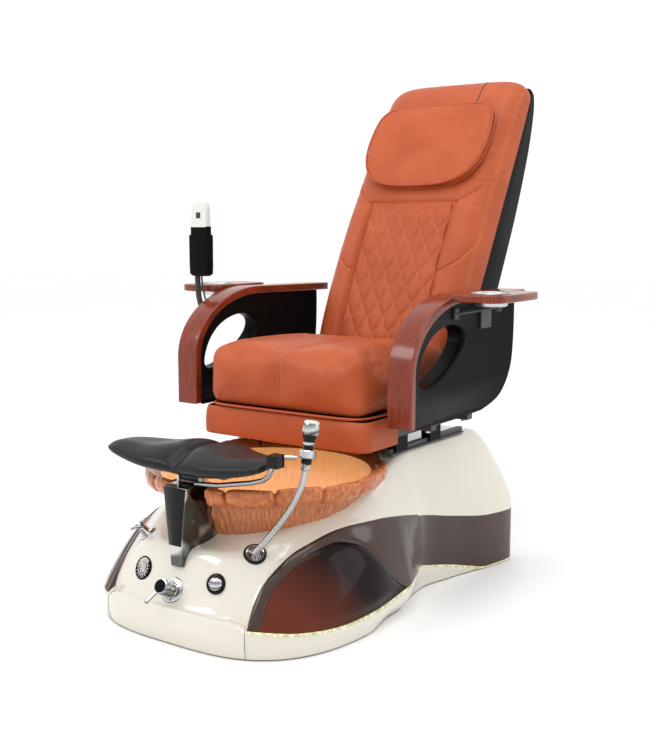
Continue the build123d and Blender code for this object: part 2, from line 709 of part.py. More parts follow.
with BuildPart() as remote:
    block((REMOTE_X - 30, REMOTE_X + 30), (REMOTE_Y - 11, REMOTE_Y + 11), (834, 1038))
    fillet(remote.edges().filter_by(Axis.Z), 7)
    fillet(remote.faces().sort_by(Axis.Z)[-1].edges(), 7)
    block((REMOTE_X - 9, REMOTE_X + 9), (REMOTE_Y - 12, REMOTE_Y - 8), (985, 1003), Mode.SUBTRACT)
write(remote.part, "remote")

with BuildPart() as remote_key:
    block((REMOTE_X - 8.5, REMOTE_X + 8.5), (REMOTE_Y - 12, REMOTE_Y - 9.2), (985.5, 1002.5))
write(remote_key.part, "remote_key")

CORD_R = 2.5
CORD_ROUTE = [(REMOTE_X, REMOTE_Y, 833.7), (REMOTE_X, REMOTE_Y, 816), (REMOTE_X + 1, REMOTE_Y + 2, 798),
              (REMOTE_X + 3, REMOTE_Y + 4, 780), (REMOTE_X + 6, REMOTE_Y + 5, 762), (REMOTE_X + 12, REMOTE_Y + 5, 746),
              (REMOTE_X + 21, REMOTE_Y + 4, 731.5), (-PANEL_OUT_X, REMOTE_Y + 4, 731.5)]
with BuildPart() as remote_cord:
    with BuildLine() as cord_line:
        FilletPolyline(*CORD_ROUTE, radius=tube_path(CORD_ROUTE))
    with BuildSketch(Plane(origin=cord_line.wire() @ 0, z_dir=cord_line.wire() % 0)):
        Circle(CORD_R)
    sweep()
write(remote_cord.part, "remote_cord")

# ---------------------------------------------------------------- reclining back
UP = Vector(0, sin(radians(RECLINE)), cos(radians(RECLINE)))
FORWARD = Vector(0, -cos(radians(RECLINE)), sin(radians(RECLINE)))
BACK_SIDE = Plane(origin=(0, HINGE_Y, HINGE_Z), x_dir=UP, z_dir=(1, 0, 0))


def back_point(x, up, forward):
    """A point of the back, from how far it lies along and ahead of the hinge line."""
    return Vector(x, HINGE_Y, HINGE_Z) + UP * up + FORWARD * forward


def back_block(x, up, forward, mode=Mode.ADD):
    """A box square to the reclined back."""
    with BuildSketch(BACK_SIDE.offset(x[0])) as section:
        with Locations(((up[0] + up[1]) / 2, (forward[0] + forward[1]) / 2)):
            Rectangle(up[1] - up[0], forward[1] - forward[0])
    extrude(section.sketch, amount=x[1] - x[0], mode=mode)


CUSHION_FRONT = [(42, 46), (250, 78), (500, 90), (750, 84), (930, 56)]
SHELL_REAR = [(930, -74), (750, -118), (500, -142), (150, -150)]

with BuildPart() as back_cushion:
    with BuildSketch(BACK_SIDE):
        with BuildLine():
            Spline(*CUSHION_FRONT)
            Spline(CUSHION_FRONT[-1], (975, 30), (BACK_TOP, -12))
            Polyline((BACK_TOP, -12), (42, -12), CUSHION_FRONT[0])
        make_face()
    extrude(amount=BACK_HALF_WIDTH, both=True)
    fillet(back_cushion.edges().filter_by(Axis.X).sort_by(Axis.Z)[-1], 10)
write(back_cushion.part, "back_cushion")

with BuildPart() as back_shell:
    with BuildSketch(BACK_SIDE):
        with BuildLine():
            Polyline((8, -22), (30, -12.5), (970, -12.5), (972, -40), (930, -74))
            Spline(*SHELL_REAR)
            Polyline(SHELL_REAR[-1], (20, -118), (8, -22))
        make_face()
    extrude(amount=SHELL_HALF_WIDTH, both=True)
    with BuildSketch(BACK_SIDE):
        with BuildLine():
            Polyline((-60, -12), (967, -12), (968, -38), (927, -70))
            Spline((927, -70), (749, -114), (500, -138), (150, -146))
            Polyline((150, -146), (24, -114), (-60, -30), (-60, -12))
        make_face()
    extrude(amount=SHELL_HALF_WIDTH - 4, both=True, mode=Mode.SUBTRACT)
write(back_shell.part, "back_shell")

with BuildPart() as back_frame:
    rod((-HINGE_PLATE_X + 1, HINGE_Y, HINGE_Z), (HINGE_PLATE_X - 1, HINGE_Y, HINGE_Z), 14)
    for x in (-170, 170):
        back_block((x - 11, x + 11), (-13, 900), (-42, -13))
        back_block((x - 11, x + 11), (-13, 13), (-42, 4))
    for up in (110, 800, 880):
        back_block((-170, 170), (up - 9, up + 9), (-42, -24) if up > 850 else (-80, -60))
    for x in (-170, 170):
        for up in (110, 800):
            back_block((x - 11, x + 11), (up - 9, up + 9), (-80, -40))
    rod((-250, HINGE_Y, HINGE_Z), (250, HINGE_Y, HINGE_Z), 8 + RUNNING, Mode.SUBTRACT)
    for x, r in ((-75, 6), (75, 6), (0, 7 + RUNNING)):
        rod(back_point(x, 95, -70), back_point(x, 815, -70), r, Mode.SUBTRACT)
write(back_frame.part, "back_frame")

with BuildPart() as massage_rails:
    for x in (-75, 75):
        rod(back_point(x, 98, -70), back_point(x, 812, -70), 6)
write(massage_rails.part, "massage_rails")

with BuildPart() as massage_screw:
    rod(back_point(0, 98, -70), back_point(0, 812, -70), 7)
    rod(back_point(0, 812, -70), back_point(0, 822, -70), 12)
    rod(back_point(0, 88, -70), back_point(0, 98, -70), 12)
write(massage_screw.part, "massage_screw")

ROLLER_UP = 450.0
with BuildPart() as massage_carriage:
    back_block((-98, 98), (ROLLER_UP - 22, ROLLER_UP + 22), (-86, -57.5))
    for x in (-82, 82):
        back_block((x - 5, x + 5), (ROLLER_UP - 12, ROLLER_UP + 12), (-58, -30))
    for x, r in ((-75, 6 + RUNNING), (75, 6 + RUNNING), (0, 7 + RUNNING)):
        rod(back_point(x, 400, -70), back_point(x, 500, -70), r, Mode.SUBTRACT)
    rod(back_point(-100, ROLLER_UP, -40), back_point(100, ROLLER_UP, -40), 5 + RUNNING, Mode.SUBTRACT)
write(massage_carriage.part, "massage_carriage")

with BuildPart() as massage_rollers:
    rod(back_point(-88, ROLLER_UP, -40), back_point(88, ROLLER_UP, -40), 5)
    for x in (-45, 45):
        rod(back_point(x - 12, ROLLER_UP, -40), back_point(x + 12, ROLLER_UP, -40), 16)
write(massage_rollers.part, "massage_rollers")

PILLOW_TOP = 845.0
PILLOW_LOW = 548.0
with BuildPart() as head_pillow:
    with BuildSketch(BACK_SIDE):
        with BuildLine():
            Spline((PILLOW_LOW, 94), (650, 93), (750, 88.5), (PILLOW_TOP, 78))
            Spline((PILLOW_TOP, 78), (835, 108), (740, 128), (PILLOW_LOW + 20, 132), (PILLOW_LOW, 94))
        make_face()
    extrude(amount=200, both=True)
write(head_pillow.part, "head_pillow")
print("pieces", len(os.listdir("parts")))
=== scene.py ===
import bmesh
import bpy
import json
import math
import numpy as np
from mathutils import Matrix, Vector, noise
from mathutils.bvhtree import BVHTree


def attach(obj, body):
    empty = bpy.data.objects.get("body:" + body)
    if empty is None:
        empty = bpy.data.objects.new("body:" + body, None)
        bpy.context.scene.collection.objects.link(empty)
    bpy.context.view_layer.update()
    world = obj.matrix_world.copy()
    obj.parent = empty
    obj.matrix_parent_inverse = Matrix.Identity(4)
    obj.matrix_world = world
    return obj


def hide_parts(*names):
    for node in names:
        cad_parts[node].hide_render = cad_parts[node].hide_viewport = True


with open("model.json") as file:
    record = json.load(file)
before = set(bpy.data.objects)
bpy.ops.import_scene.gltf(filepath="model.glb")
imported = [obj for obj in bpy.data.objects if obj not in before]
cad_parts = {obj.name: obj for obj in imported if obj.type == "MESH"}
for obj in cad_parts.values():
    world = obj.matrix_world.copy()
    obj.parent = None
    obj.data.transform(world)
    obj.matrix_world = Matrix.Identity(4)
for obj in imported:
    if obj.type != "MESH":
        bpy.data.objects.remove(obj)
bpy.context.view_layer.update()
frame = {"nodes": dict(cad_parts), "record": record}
scene = bpy.context.scene
MM = 0.001  # every length below is in millimetres unless it says otherwise

# plate() axes: the directions of a loop's two numbers, then of its thickness
THICK_X = ((0, 1, 0), (0, 0, 1), (1, 0, 0))
THICK_Y = ((1, 0, 0), (0, 0, 1), (0, 1, 0))
THICK_Z = ((1, 0, 0), (0, 1, 0), (0, 0, 1))


# ---------------------------------------------------------------- materials
def shader_of(m):
    return m.node_tree.nodes["Principled BSDF"]


def material(name, colour, rough, metal=0.0, coat=0.0, coat_rough=0.04, specular=0.5):
    m = bpy.data.materials.new(name)
    m.use_nodes = True
    b = shader_of(m)
    b.inputs["Base Color"].default_value = (*colour, 1)
    b.inputs["Roughness"].default_value = rough
    b.inputs["Metallic"].default_value = metal
    b.inputs["Coat Weight"].default_value = coat
    b.inputs["Coat Roughness"].default_value = coat_rough
    b.inputs["Specular IOR Level"].default_value = specular
    return m


def texture(m, scale, detail=3.0, stretch=(1, 1, 1), kind="ShaderNodeTexNoise", uv=False):
    """A procedural texture on the piece's own coordinates; gives its factor or distance."""
    nt = m.node_tree
    coord = nt.nodes.new("ShaderNodeTexCoord")
    mapping = nt.nodes.new("ShaderNodeMapping")
    mapping.inputs["Scale"].default_value = stretch
    nt.links.new(coord.outputs["UV" if uv else "Object"], mapping.inputs["Vector"])
    t = nt.nodes.new(kind)
    t.inputs["Scale"].default_value = scale
    if "Detail" in t.inputs:
        t.inputs["Detail"].default_value = detail
    nt.links.new(mapping.outputs["Vector"], t.inputs["Vector"])
    return t.outputs["Distance"] if kind == "ShaderNodeTexVoronoi" else t.outputs["Fac"]


def bump(m, height, strength, distance):
    """Adds a bump, on top of the bumps the material has."""
    nt = m.node_tree
    shader = shader_of(m)
    node = nt.nodes.new("ShaderNodeBump")
    node.inputs["Strength"].default_value = strength
    node.inputs["Distance"].default_value = distance
    nt.links.new(height, node.inputs["Height"])
    before = shader.inputs["Normal"].links
    if before:
        nt.links.new(before[0].from_socket, node.inputs["Normal"])
    nt.links.new(node.outputs["Normal"], shader.inputs["Normal"])


def mottle(m, height, dark, light, low=0.35, high=0.65, socket="Base Color"):
    """Runs a socket between two colours (or two values) with a texture."""
    nt = m.node_tree
    ramp = nt.nodes.new("ShaderNodeValToRGB")
    ramp.color_ramp.elements[0].position = low
    ramp.color_ramp.elements[1].position = high
    ramp.color_ramp.elements[0].color = (*dark, 1)
    ramp.color_ramp.elements[1].color = (*light, 1)
    nt.links.new(height, ramp.inputs["Fac"])
    nt.links.new(ramp.outputs["Color"], shader_of(m).inputs[socket])


def patchy(m, scale, low, high):
    """Lets the roughness wander between two values."""
    mottle(m, texture(m, scale, 2.0), (low, low, low), (high, high, high), socket="Roughness")


def leather_like(name, dark, light, rough, grain):
    m = material(name, light, rough, specular=0.22)
    mottle(m, texture(m, 9.0, 4.0), dark, light, 0.3, 0.7)
    bump(m, texture(m, 900.0, kind="ShaderNodeTexVoronoi"), grain, 0.0004)
    bump(m, texture(m, 55.0, 4.0), 0.16, 0.0012)
    return m


TAN = leather_like("tan_leather", (0.37, 0.068, 0.02), (0.44, 0.092, 0.03), 0.45, 0.25)
THREAD = material("tan_thread", (0.72, 0.3, 0.14), 0.6)
DARK_SEAM = material("dark_seam", (0.03, 0.012, 0.008), 0.7)
PAD = leather_like("black_pad", (0.006, 0.006, 0.007), (0.011, 0.011, 0.012), 0.33, 0.2)

CREAM = material("cream_shell", (0.69, 0.655, 0.565), 0.16, coat=0.6, coat_rough=0.03)
mottle(CREAM, texture(CREAM, 3.0, 2.0), (0.68, 0.645, 0.555), (0.705, 0.668, 0.58))
CREAM_GAP = material("shell_joint", (0.2, 0.18, 0.15), 0.5)

BURGUNDY = material("burgundy_panel", (0.052, 0.022, 0.014), 0.3, metal=0.2, coat=0.5, coat_rough=0.08, specular=0.3)
mottle(BURGUNDY, texture(BURGUNDY, 700.0, 1.0), (0.03, 0.012, 0.008), (0.052, 0.021, 0.014), 0.4, 0.65)
# painted highlight on the panels' bulge: copper-brown low at the front, darkening upward and to the rear into painted
# shade
PANEL_HIGHLIGHT = material("panel_painted_highlight", (0.15, 0.036, 0.02), 0.3, metal=0.35, coat=0.12, coat_rough=0.05, specular=0.12)
nt = PANEL_HIGHLIGHT.node_tree
coord = nt.nodes.new("ShaderNodeTexCoord")
split = nt.nodes.new("ShaderNodeSeparateXYZ")
slant = nt.nodes.new("ShaderNodeMath")
slant.operation = "MULTIPLY_ADD"
slant.inputs[1].default_value = 0.75
ramp = nt.nodes.new("ShaderNodeMapRange")
ramp.inputs["From Min"].default_value = -0.36
ramp.inputs["From Max"].default_value = -0.16
nt.links.new(coord.outputs["Object"], split.inputs["Vector"])
nt.links.new(split.outputs["Z"], slant.inputs[0])
nt.links.new(split.outputs["Y"], slant.inputs[2])
nt.links.new(slant.outputs["Value"], ramp.inputs["Value"])
# lit copper-brown at the lower front, painted shade at the upper rear
mottle(PANEL_HIGHLIGHT, ramp.outputs["Result"], (0.125, 0.026, 0.013), (0.006, 0.002, 0.0016), 0.0, 1.0)
bump(PANEL_HIGHLIGHT, texture(PANEL_HIGHLIGHT, 900.0, 1.0), 0.08, 0.0002)

BOWL = material("amber_bowl", (0.6, 0.2, 0.07), 0.25, coat=0.25, coat_rough=0.08, specular=0.3)
mottle(BOWL, texture(BOWL, 34.0, 6.0, (9, 0.8, 1), uv=True), (0.33, 0.085, 0.03), (0.68, 0.27, 0.12), 0.32, 0.68)
bump(BOWL, texture(BOWL, 30.0, 4.0, (11, 0.7, 1), uv=True), 0.8, 0.004)
RIM = material("amber_rim", (0.62, 0.2, 0.06), 0.2, coat=0.3, coat_rough=0.06, specular=0.3)
mottle(RIM, texture(RIM, 30.0, 6.0, (3, 2.2, 1), uv=True), (0.33, 0.07, 0.018), (0.62, 0.2, 0.06), 0.3, 0.7)
bump(RIM, texture(RIM, 22.0, 3.0, (3.2, 2.2, 1), uv=True), 0.5, 0.004)
AMBER_GLOW = material("amber_inside_painted_glow", (0.83, 0.42, 0.15), 0.22, coat=0.7, coat_rough=0.08, specular=0.7)
mottle(AMBER_GLOW, texture(AMBER_GLOW, 26.0, 6.0, (7, 1.2, 1), uv=True), (0.72, 0.33, 0.11), (0.98, 0.62, 0.3), 0.32, 0.7)
# painted light: the inside emits a glow that stands in for light through the amber
shader_of(AMBER_GLOW).inputs["Emission Color"].default_value = (0.9, 0.42, 0.15, 1)
shader_of(AMBER_GLOW).inputs["Emission Strength"].default_value = 0.45
bump(AMBER_GLOW, texture(AMBER_GLOW, 30.0, 5.0, (8, 1.2, 1), uv=True), 0.7, 0.004)

WOOD = material("red_wood", (0.25, 0.034, 0.011), 0.25, coat=0.3, coat_rough=0.08, specular=0.3)
mottle(WOOD, texture(WOOD, 5.0, 6.0, (42, 3, 3)), (0.12, 0.014, 0.004), (0.24, 0.034, 0.009), 0.28, 0.72)
WOOD_EDGE = material("wood_edge", (0.36, 0.075, 0.028), 0.3, coat=0.4, coat_rough=0.1)
mottle(WOOD_EDGE, texture(WOOD_EDGE, 260.0, 3.0, (1, 0.08, 0.08)), (0.2, 0.03, 0.01), (0.42, 0.1, 0.04), 0.35, 0.65)

BLACK = material("black_plastic", (0.004, 0.004, 0.004), 0.42, specular=0.05)
bump(BLACK, texture(BLACK, 1400.0, 1.0), 0.25, 0.0002)
patchy(BLACK, 4.0, 0.33, 0.43)
GLOSS_BLACK = material("gloss_black", (0.006, 0.006, 0.006), 0.1, coat=0.06, specular=0.15)
patchy(GLOSS_BLACK, 6.0, 0.06, 0.12)
RUBBER = material("black_rubber", (0.02, 0.02, 0.02), 0.6)
bump(RUBBER, texture(RUBBER, 900.0, 2.0), 0.3, 0.0003)
# chrome with the bands of a studio's reflections, by how far each face looks up
CHROME = material("chrome_metal", (0.83, 0.83, 0.84), 0.05, metal=1.0)
patchy(CHROME, 20.0, 0.04, 0.09)
nt = CHROME.node_tree
coord = nt.nodes.new("ShaderNodeTexCoord")
split = nt.nodes.new("ShaderNodeSeparateXYZ")
half_up = nt.nodes.new("ShaderNodeMath")
half_up.operation = "MULTIPLY_ADD"
half_up.inputs[1].default_value = 0.5
half_up.inputs[2].default_value = 0.5
bands = nt.nodes.new("ShaderNodeValToRGB")
for place, grey in ((0.12, 0.1), (0.36, 0.35), (0.47, 0.05), (0.56, 0.7), (0.72, 0.2), (0.84, 0.85)):
    stop = bands.color_ramp.elements.new(place)
    stop.color = (grey, grey, grey, 1)
bands.color_ramp.elements[0].color = (0.3, 0.3, 0.3, 1)
bands.color_ramp.elements[-1].color = (0.7, 0.7, 0.7, 1)
nt.links.new(coord.outputs["Normal"], split.inputs["Vector"])
nt.links.new(split.outputs["Z"], half_up.inputs[0])
nt.links.new(half_up.outputs["Value"], bands.inputs["Fac"])
nt.links.new(bands.outputs["Color"], shader_of(CHROME).inputs["Base Color"])
MIRROR = material("mirror_steel", (0.5, 0.5, 0.49), 0.08, metal=1.0)
# painted reflections: dark and light blotches on the polished steel
mottle(MIRROR, texture(MIRROR, 17.0, 1.2), (0.1, 0.1, 0.095), (0.55, 0.545, 0.52), 0.44, 0.56)
bump(MIRROR, texture(MIRROR, 14.0, 1.5), 0.35, 0.006)
BRUSHED = material("brushed_metal", (0.56, 0.56, 0.56), 0.3, metal=1.0)
bump(BRUSHED, texture(BRUSHED, 700.0, 2.0, (0.05, 1, 1)), 0.2, 0.0003)
PAINT = material("painted_frame", (0.03, 0.03, 0.032), 0.45)
bump(PAINT, texture(PAINT, 1100.0, 1.0), 0.2, 0.0003)
WHITE = material("white_plastic", (0.66, 0.67, 0.64), 0.22, coat=0.3)
patchy(WHITE, 8.0, 0.2, 0.28)
STRIP = material("clear_strip", (0.72, 0.68, 0.42), 0.2, coat=0.6)
mottle(STRIP, texture(STRIP, 95.0, 2.0), (0.5, 0.5, 0.28), (0.9, 0.82, 0.5), 0.4, 0.6)

NODE_LOOK = {"cream_shell": CREAM, "burgundy_panel": BURGUNDY, "tan_leather": TAN, "black_leather": PAD,
             "black_plastic": BLACK, "red_wood": WOOD, "chrome_metal": CHROME, "brushed_metal": BRUSHED,
             "painted_frame": PAINT, "amber_glass": BOWL, "black_rubber": RUBBER, "clear_strip": STRIP,
             "white_plastic": WHITE, "rail_steel": PAINT}
slot_of = {s["node"]: s["material_slot"] for s in frame["record"]["subparts"]}


# ---------------------------------------------------------------- mesh helpers
def smooth(t):
    t = np.clip(t, 0.0, 1.0)
    return t * t * (3 - 2 * t)


def curve_through(points, start=None, end=None):
    """A smooth function through (x, value) stations that never overshoots them."""
    xs, vs = np.array(points, float).T
    step = np.diff(xs)
    rise = np.diff(vs) / step
    slope = np.zeros(len(xs))
    for i in range(1, len(xs) - 1):
        if rise[i - 1] * rise[i] > 0:
            slope[i] = 2 * rise[i - 1] * rise[i] / (rise[i - 1] + rise[i])
    slope[0] = rise[0] if start is None else start
    slope[-1] = rise[-1] if end is None else end

    def value(x):
        x = np.clip(x, xs[0], xs[-1])
        i = np.clip(np.searchsorted(xs, x) - 1, 0, len(step) - 1)
        t = (x - xs[i]) / step[i]
        h = step[i]
        return ((2 * t**3 - 3 * t**2 + 1) * vs[i] + (t**3 - 2 * t**2 + t) * h * slope[i]
                + (3 * t**2 - 2 * t**3) * vs[i + 1] + (t**3 - t**2) * h * slope[i + 1])
    return value


def put(name, data):
    """A new object with this data, in the scene."""
    ob = bpy.data.objects.new(name, data)
    scene.collection.objects.link(ob)
    return ob


def give_materials(me, mats):
    for m in (mats if isinstance(mats, (list, tuple)) else [mats]):
        me.materials.append(m)


def add_mesh(name, verts, faces, mats, smooth_angle=40.0, face_mats=None):
    me = bpy.data.meshes.new(name)
    me.from_pydata((np.array(verts, float) * MM).tolist(), [], [list(map(int, f)) for f in faces])
    give_materials(me, mats)
    if face_mats is not None:
        me.polygons.foreach_set("material_index", np.array(face_mats, np.int32))
    me.update()
    ob = put(name, me)
    shade(ob, smooth_angle)
    return ob


def shade(ob, angle=40.0):
    ob.data.polygons.foreach_set("use_smooth", [True] * len(ob.data.polygons))
    ob.data.set_sharp_from_angle(angle=math.radians(angle))


def face_outward(ob, weld=0.0):
    """Turns all faces outward, once points less than weld metres apart are one."""
    bm = bmesh.new()
    bm.from_mesh(ob.data)
    if weld:
        bmesh.ops.remove_doubles(bm, verts=bm.verts, dist=weld)
    bmesh.ops.recalc_face_normals(bm, faces=bm.faces)
    bm.to_mesh(ob.data)
    bm.free()


def set_points(ob, points):
    """Moves the vertices to points, in metres."""
    ob.data.vertices.foreach_set("co", points.astype(np.float32).ravel())
    ob.data.update()


def grid_faces(rows, cols, closed=False):
    faces = []
    for r in range(rows - 1):
        for c in range(cols if closed else cols - 1):
            d = (c + 1) % cols
            faces.append((r * cols + c, r * cols + d, (r + 1) * cols + d, (r + 1) * cols + c))
    return faces


def set_uv(ob, uv):
    """UV of each vertex, as numbers for the procedural textures."""
    layer = ob.data.uv_layers.new(name="UVMap")
    index = np.zeros(len(ob.data.loops), np.int32)
    ob.data.loops.foreach_get("vertex_index", index)
    layer.data.foreach_set("uv", np.array(uv, np.float32)[index].ravel())


def to_mesh(ob, mats, angle=40.0):
    """Turns a curve or a mesh with modifiers into a plain mesh."""
    dg = bpy.context.evaluated_depsgraph_get()
    me = bpy.data.meshes.new_from_object(ob.evaluated_get(dg))
    name = ob.name
    bpy.data.objects.remove(ob)
    new = put(name, me)
    me.materials.clear()
    give_materials(me, mats)
    shade(new, angle)
    return new


def plate(name, loops, axes, low, high, edge, mat, angle=40.0, origin=(0, 0, 0)):
    """A flat shape with holes and rounded edges, from low to high along its thickness."""
    cu = bpy.data.curves.new(name, "CURVE")
    cu.dimensions = "2D"
    cu.fill_mode = "BOTH"
    for loop in loops:
        sp = cu.splines.new("POLY")
        sp.points.add(len(loop) - 1)
        for p, (a, b) in zip(sp.points, loop):
            p.co = (a * MM, b * MM, 0, 1)
        sp.use_cyclic_u = True
    cu.extrude = ((high - low) / 2 - edge) * MM
    cu.bevel_depth = edge * MM
    cu.bevel_resolution = 4
    cu.offset = -edge * MM
    ob = to_mesh(put(name, cu), mat, angle)
    u, v, n = (Vector(a) for a in axes)
    centre = (Vector(origin) + n * (low + high) / 2) * MM
    m = Matrix((u, v, n)).transposed().to_4x4()
    m.translation = centre
    ob.data.transform(m)
    if m.determinant() < 0:
        ob.data.flip_normals()
    bm = bmesh.new()
    bm.from_mesh(ob.data)
    bmesh.ops.remove_doubles(bm, verts=bm.verts, dist=1e-6)
    bm.to_mesh(ob.data)
    bm.free()
    shade(ob, angle)
    return ob


def tubes(name, lines, radius, mat, resolution=3):
    """Round bars along lines of points."""
    cu = bpy.data.curves.new(name, "CURVE")
    cu.dimensions = "3D"
    cu.bevel_depth = radius * MM
    cu.bevel_resolution = resolution
    cu.use_fill_caps = True
    for line in lines:
        sp = cu.splines.new("POLY")
        sp.points.add(len(line) - 1)
        for p, q in zip(sp.points, line):
            p.co = (*(Vector(q) * MM), 1)
    return to_mesh(put(name, cu), mat, 60)


def stitches(name, lines, mat, stitch=4.6, gap=2.4, radius=0.62):
    """Sewn thread along lines of points: short dashes."""
    dashes = []
    for line in lines:
        pts = [Vector(p) for p in line]
        lengths = [0.0]
        for a, b in zip(pts, pts[1:]):
            lengths.append(lengths[-1] + (b - a).length)
        pts_array = np.array([list(p) for p in pts])

        def at(s):
            return [float(np.interp(s, lengths, pts_array[:, k])) for k in range(3)]
        s = gap
        while s + stitch < lengths[-1]:
            dashes.append([at(s), at(s + stitch / 2), at(s + stitch)])
            s += stitch + gap
    return tubes(name, dashes, radius, mat, 1)


def revolve(name, profile, plane, mat, steps=64, angle=35.0):
    """profile: (radius, height) points about a plane's z axis. plane: origin, x, y, z."""
    o, x, y, z = (Vector(v) for v in plane)
    verts, rows = [], len(profile)
    for r, h in profile:
        for k in range(steps):
            a = 2 * math.pi * k / steps
            verts.append(o + x * (max(r, 0.01) * math.cos(a)) + y * (max(r, 0.01) * math.sin(a)) + z * h)
    faces = grid_faces(rows, steps, True)
    faces.append(tuple(reversed(range(steps))))
    faces.append(tuple((rows - 1) * steps + k for k in range(steps)))
    return add_mesh(name, verts, faces, mat, angle)


def join(name, obs):
    for o in bpy.context.selected_objects:
        o.select_set(False)
    for o in obs:
        o.select_set(True)
    bpy.context.view_layer.objects.active = obs[0]
    bpy.ops.object.join()
    obs[0].name = name
    return obs[0]


def done(ob, body, replaces=()):
    """Says which body a finished piece rides on, and which CAD nodes it stands for."""
    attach(ob, body)
    if replaces:
        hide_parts(*replaces)
    return ob


def snap(tree, points, direction, lift=0.0):
    """Points moved onto a surface along a direction, then lifted off it."""
    d = Vector(direction).normalized()
    out = []
    for p in points:
        hit, normal, _, _ = tree.ray_cast(Vector(p) * MM - d * 0.4, d)
        if hit is not None:
            out.append((hit + normal * (lift * MM)) / MM)
    return out


def tree_of(ob):
    return BVHTree.FromPolygons([v.co for v in ob.data.vertices], [p.vertices for p in ob.data.polygons])


def around(steps):
    """Angles of a full turn, in even steps."""
    return [2 * math.pi * k / steps for k in range(steps)]


def smooth_line(points, rounds):
    """An open line with its corners cut, between the same ends."""
    pts = np.array(points, float)
    for _ in range(rounds):
        cut = [np.array([a * 0.75 + b * 0.25, a * 0.25 + b * 0.75]) for a, b in zip(pts, pts[1:])]
        pts = np.concatenate([pts[:1]] + cut + [pts[-1:]])
    return pts


def smooth_loop(points, rounds=3):
    """A closed loop with its corners cut."""
    pts = np.array(points, float)
    for _ in range(rounds):
        after = np.roll(pts, -1, 0)
        pts = np.stack([pts * 0.75 + after * 0.25, pts * 0.25 + after * 0.75], 1).reshape(-1, 2)
    return [tuple(p) for p in pts]


# ---------------------------------------------------------------- base
# The base, from curves over Y: the plan's half width on the floor (SIDE) and at the deck's edge (DECK_HALF), the
# heights of the deck's middle (DECK), its edge (EDGE), the panels' lower edge (SILL) and the dome's arc (DOME), under
# which a copper-brown highlight is painted, where the deck starts to fall (SHOULDER) and how far the skirt draws in
# (INSET). The nose is a superellipse lobe.
LOBE_HALF, LOBE_LONG, LOBE_Y, LOBE_P = 363.0, 495.0, -53.0, 3.26
NOSE_END, REAR_END = -503, 528.5  # the side panels run between these
DOME_REAR = -54  # the painted copper-brown highlight on a panel ends here
REAR_Y_BASE, REAR_ROUND = 490, 40  # start and radius of the rear corners
SIDE = curve_through([(-53, 363), (10, 345), (130, 303), (250, 325), (392, 365), (470, 380), (530, 383)], start=0.0)
DECK = curve_through([(-560, 200), (-505, 214), (-460, 216), (-420, 221), (-349, 246), (-240, 272), (-100, 308),
                      (0, 350), (70, 371), (120, 372), (540, 372)])
EDGE = curve_through([(-548, 92), (-520, 84), (-502, 76), (-490, 106), (-471, 133), (-450, 158), (-412, 186),
                      (-363, 213), (-319, 228), (-253, 243), (-190, 251), (-110, 249), (-20, 238), (60, 222),
                      (162, 201), (235, 185), (392, 161), (530, 157)])
DECK_HALF = curve_through([(-560, 330), (-502, 313), (-490, 293), (-471, 272), (-450, 260), (-412, 249), (-363, 247),
                           (-319, 254), (-253, 264), (-190, 286), (-110, 304), (-20, 312), (60, 311), (130, 303),
                           (250, 325), (392, 365), (470, 380), (530, 383)])
SHOULDER = curve_through([(-548, 0.86), (-505, 0.84), (-400, 0.82), (-53, 0.80), (60, 0.82), (130, 0.83),
                          (250, 0.78), (400, 0.66), (530, 0.62)])
SILL = curve_through([(-548, 76), (-502, 70), (-436, 60), (-313, 52), (-202, 55), (-132, 62), (-60, 70),
                      (0, 76), (80, 74), (155, 58), (240, 40), (316, 20), (380, 6), (530, 5)])
DOME = curve_through([(-502, 74), (-465, 129), (-400, 179), (-329, 211), (-263, 222), (-215, 212), (-156, 167),
                      (-115, 110), (-91, 89), (-60, 72)])
INSET = curve_through([(-548, 9), (-350, 3), (-235, 5), (-105, 30), (0, 33), (107, 9), (224, 3), (530, 1)])
BOWL_Y = -163.0
BOWL_OUT = curve_through([(100, 140), (116, 152), (138, 178), (200, 213), (255, 232), (325, 268), (350, 300)])


def girth(x, y):
    """0 at the lobe's centre or the centre line, 1 at the deck's edge."""
    ax = np.abs(x)
    half = DECK_HALF(y)
    lobe = ((ax / half) ** LOBE_P + (np.maximum(LOBE_Y - y, 0) / LOBE_LONG) ** LOBE_P) ** (1 / LOBE_P)
    return np.where(y < LOBE_Y, lobe, ax / half)


def deck(x, y):
    """Height of the moulding's top."""
    x, y = np.asarray(x, float), np.asarray(y, float)
    start = SHOULDER(y)
    t = np.clip((girth(x, y) - start) / (1 - start), 0, 1)
    k = smooth((y + 430) / 200) * 0.75
    fall = (1 - k) * smooth(t) + k * (1 - np.cos(t * math.pi / 2))
    rear = 26 * np.clip((y - 486) / 44, 0, 1) ** 2.4
    return DECK(y) + (EDGE(y) - DECK(y)) * fall - rear * (1 - t)


def half_outline():
    """Plan points of the +X half, from the nose to the middle of the rear."""
    pts = []
    for k in range(151):
        a = math.pi / 2 * k / 150
        pts.append((LOBE_HALF * math.sin(a) ** (2 / LOBE_P),
                    LOBE_Y - LOBE_LONG * max(math.cos(a), 0) ** (2 / LOBE_P)))
    ends = []
    for k in range(1, 120):
        y = LOBE_Y + (REAR_Y_BASE - LOBE_Y) * k / 119
        ends.append((float(SIDE(y)), y))
    for k in range(1, 13):
        a = math.pi / 2 * k / 12
        ends.append((float(SIDE(REAR_Y_BASE)) - REAR_ROUND + REAR_ROUND * math.cos(a) + 1.5 * math.sin(a),
                     REAR_Y_BASE + REAR_ROUND * math.sin(a)))
    x0 = ends[-1][0]
    for k in range(1, 31):
        ends.append((x0 * (1 - k / 30), float(REAR_Y_BASE + REAR_ROUND)))
    line = np.array(pts + ends)
    # even spacing along the line
    gaps = np.hypot(*np.diff(line, axis=0).T)
    s = np.concatenate([[0], np.cumsum(gaps)])
    even = np.linspace(0, s[-1], 330)
    return np.stack([np.interp(even, s, line[:, 0]), np.interp(even, s, line[:, 1])], 1)


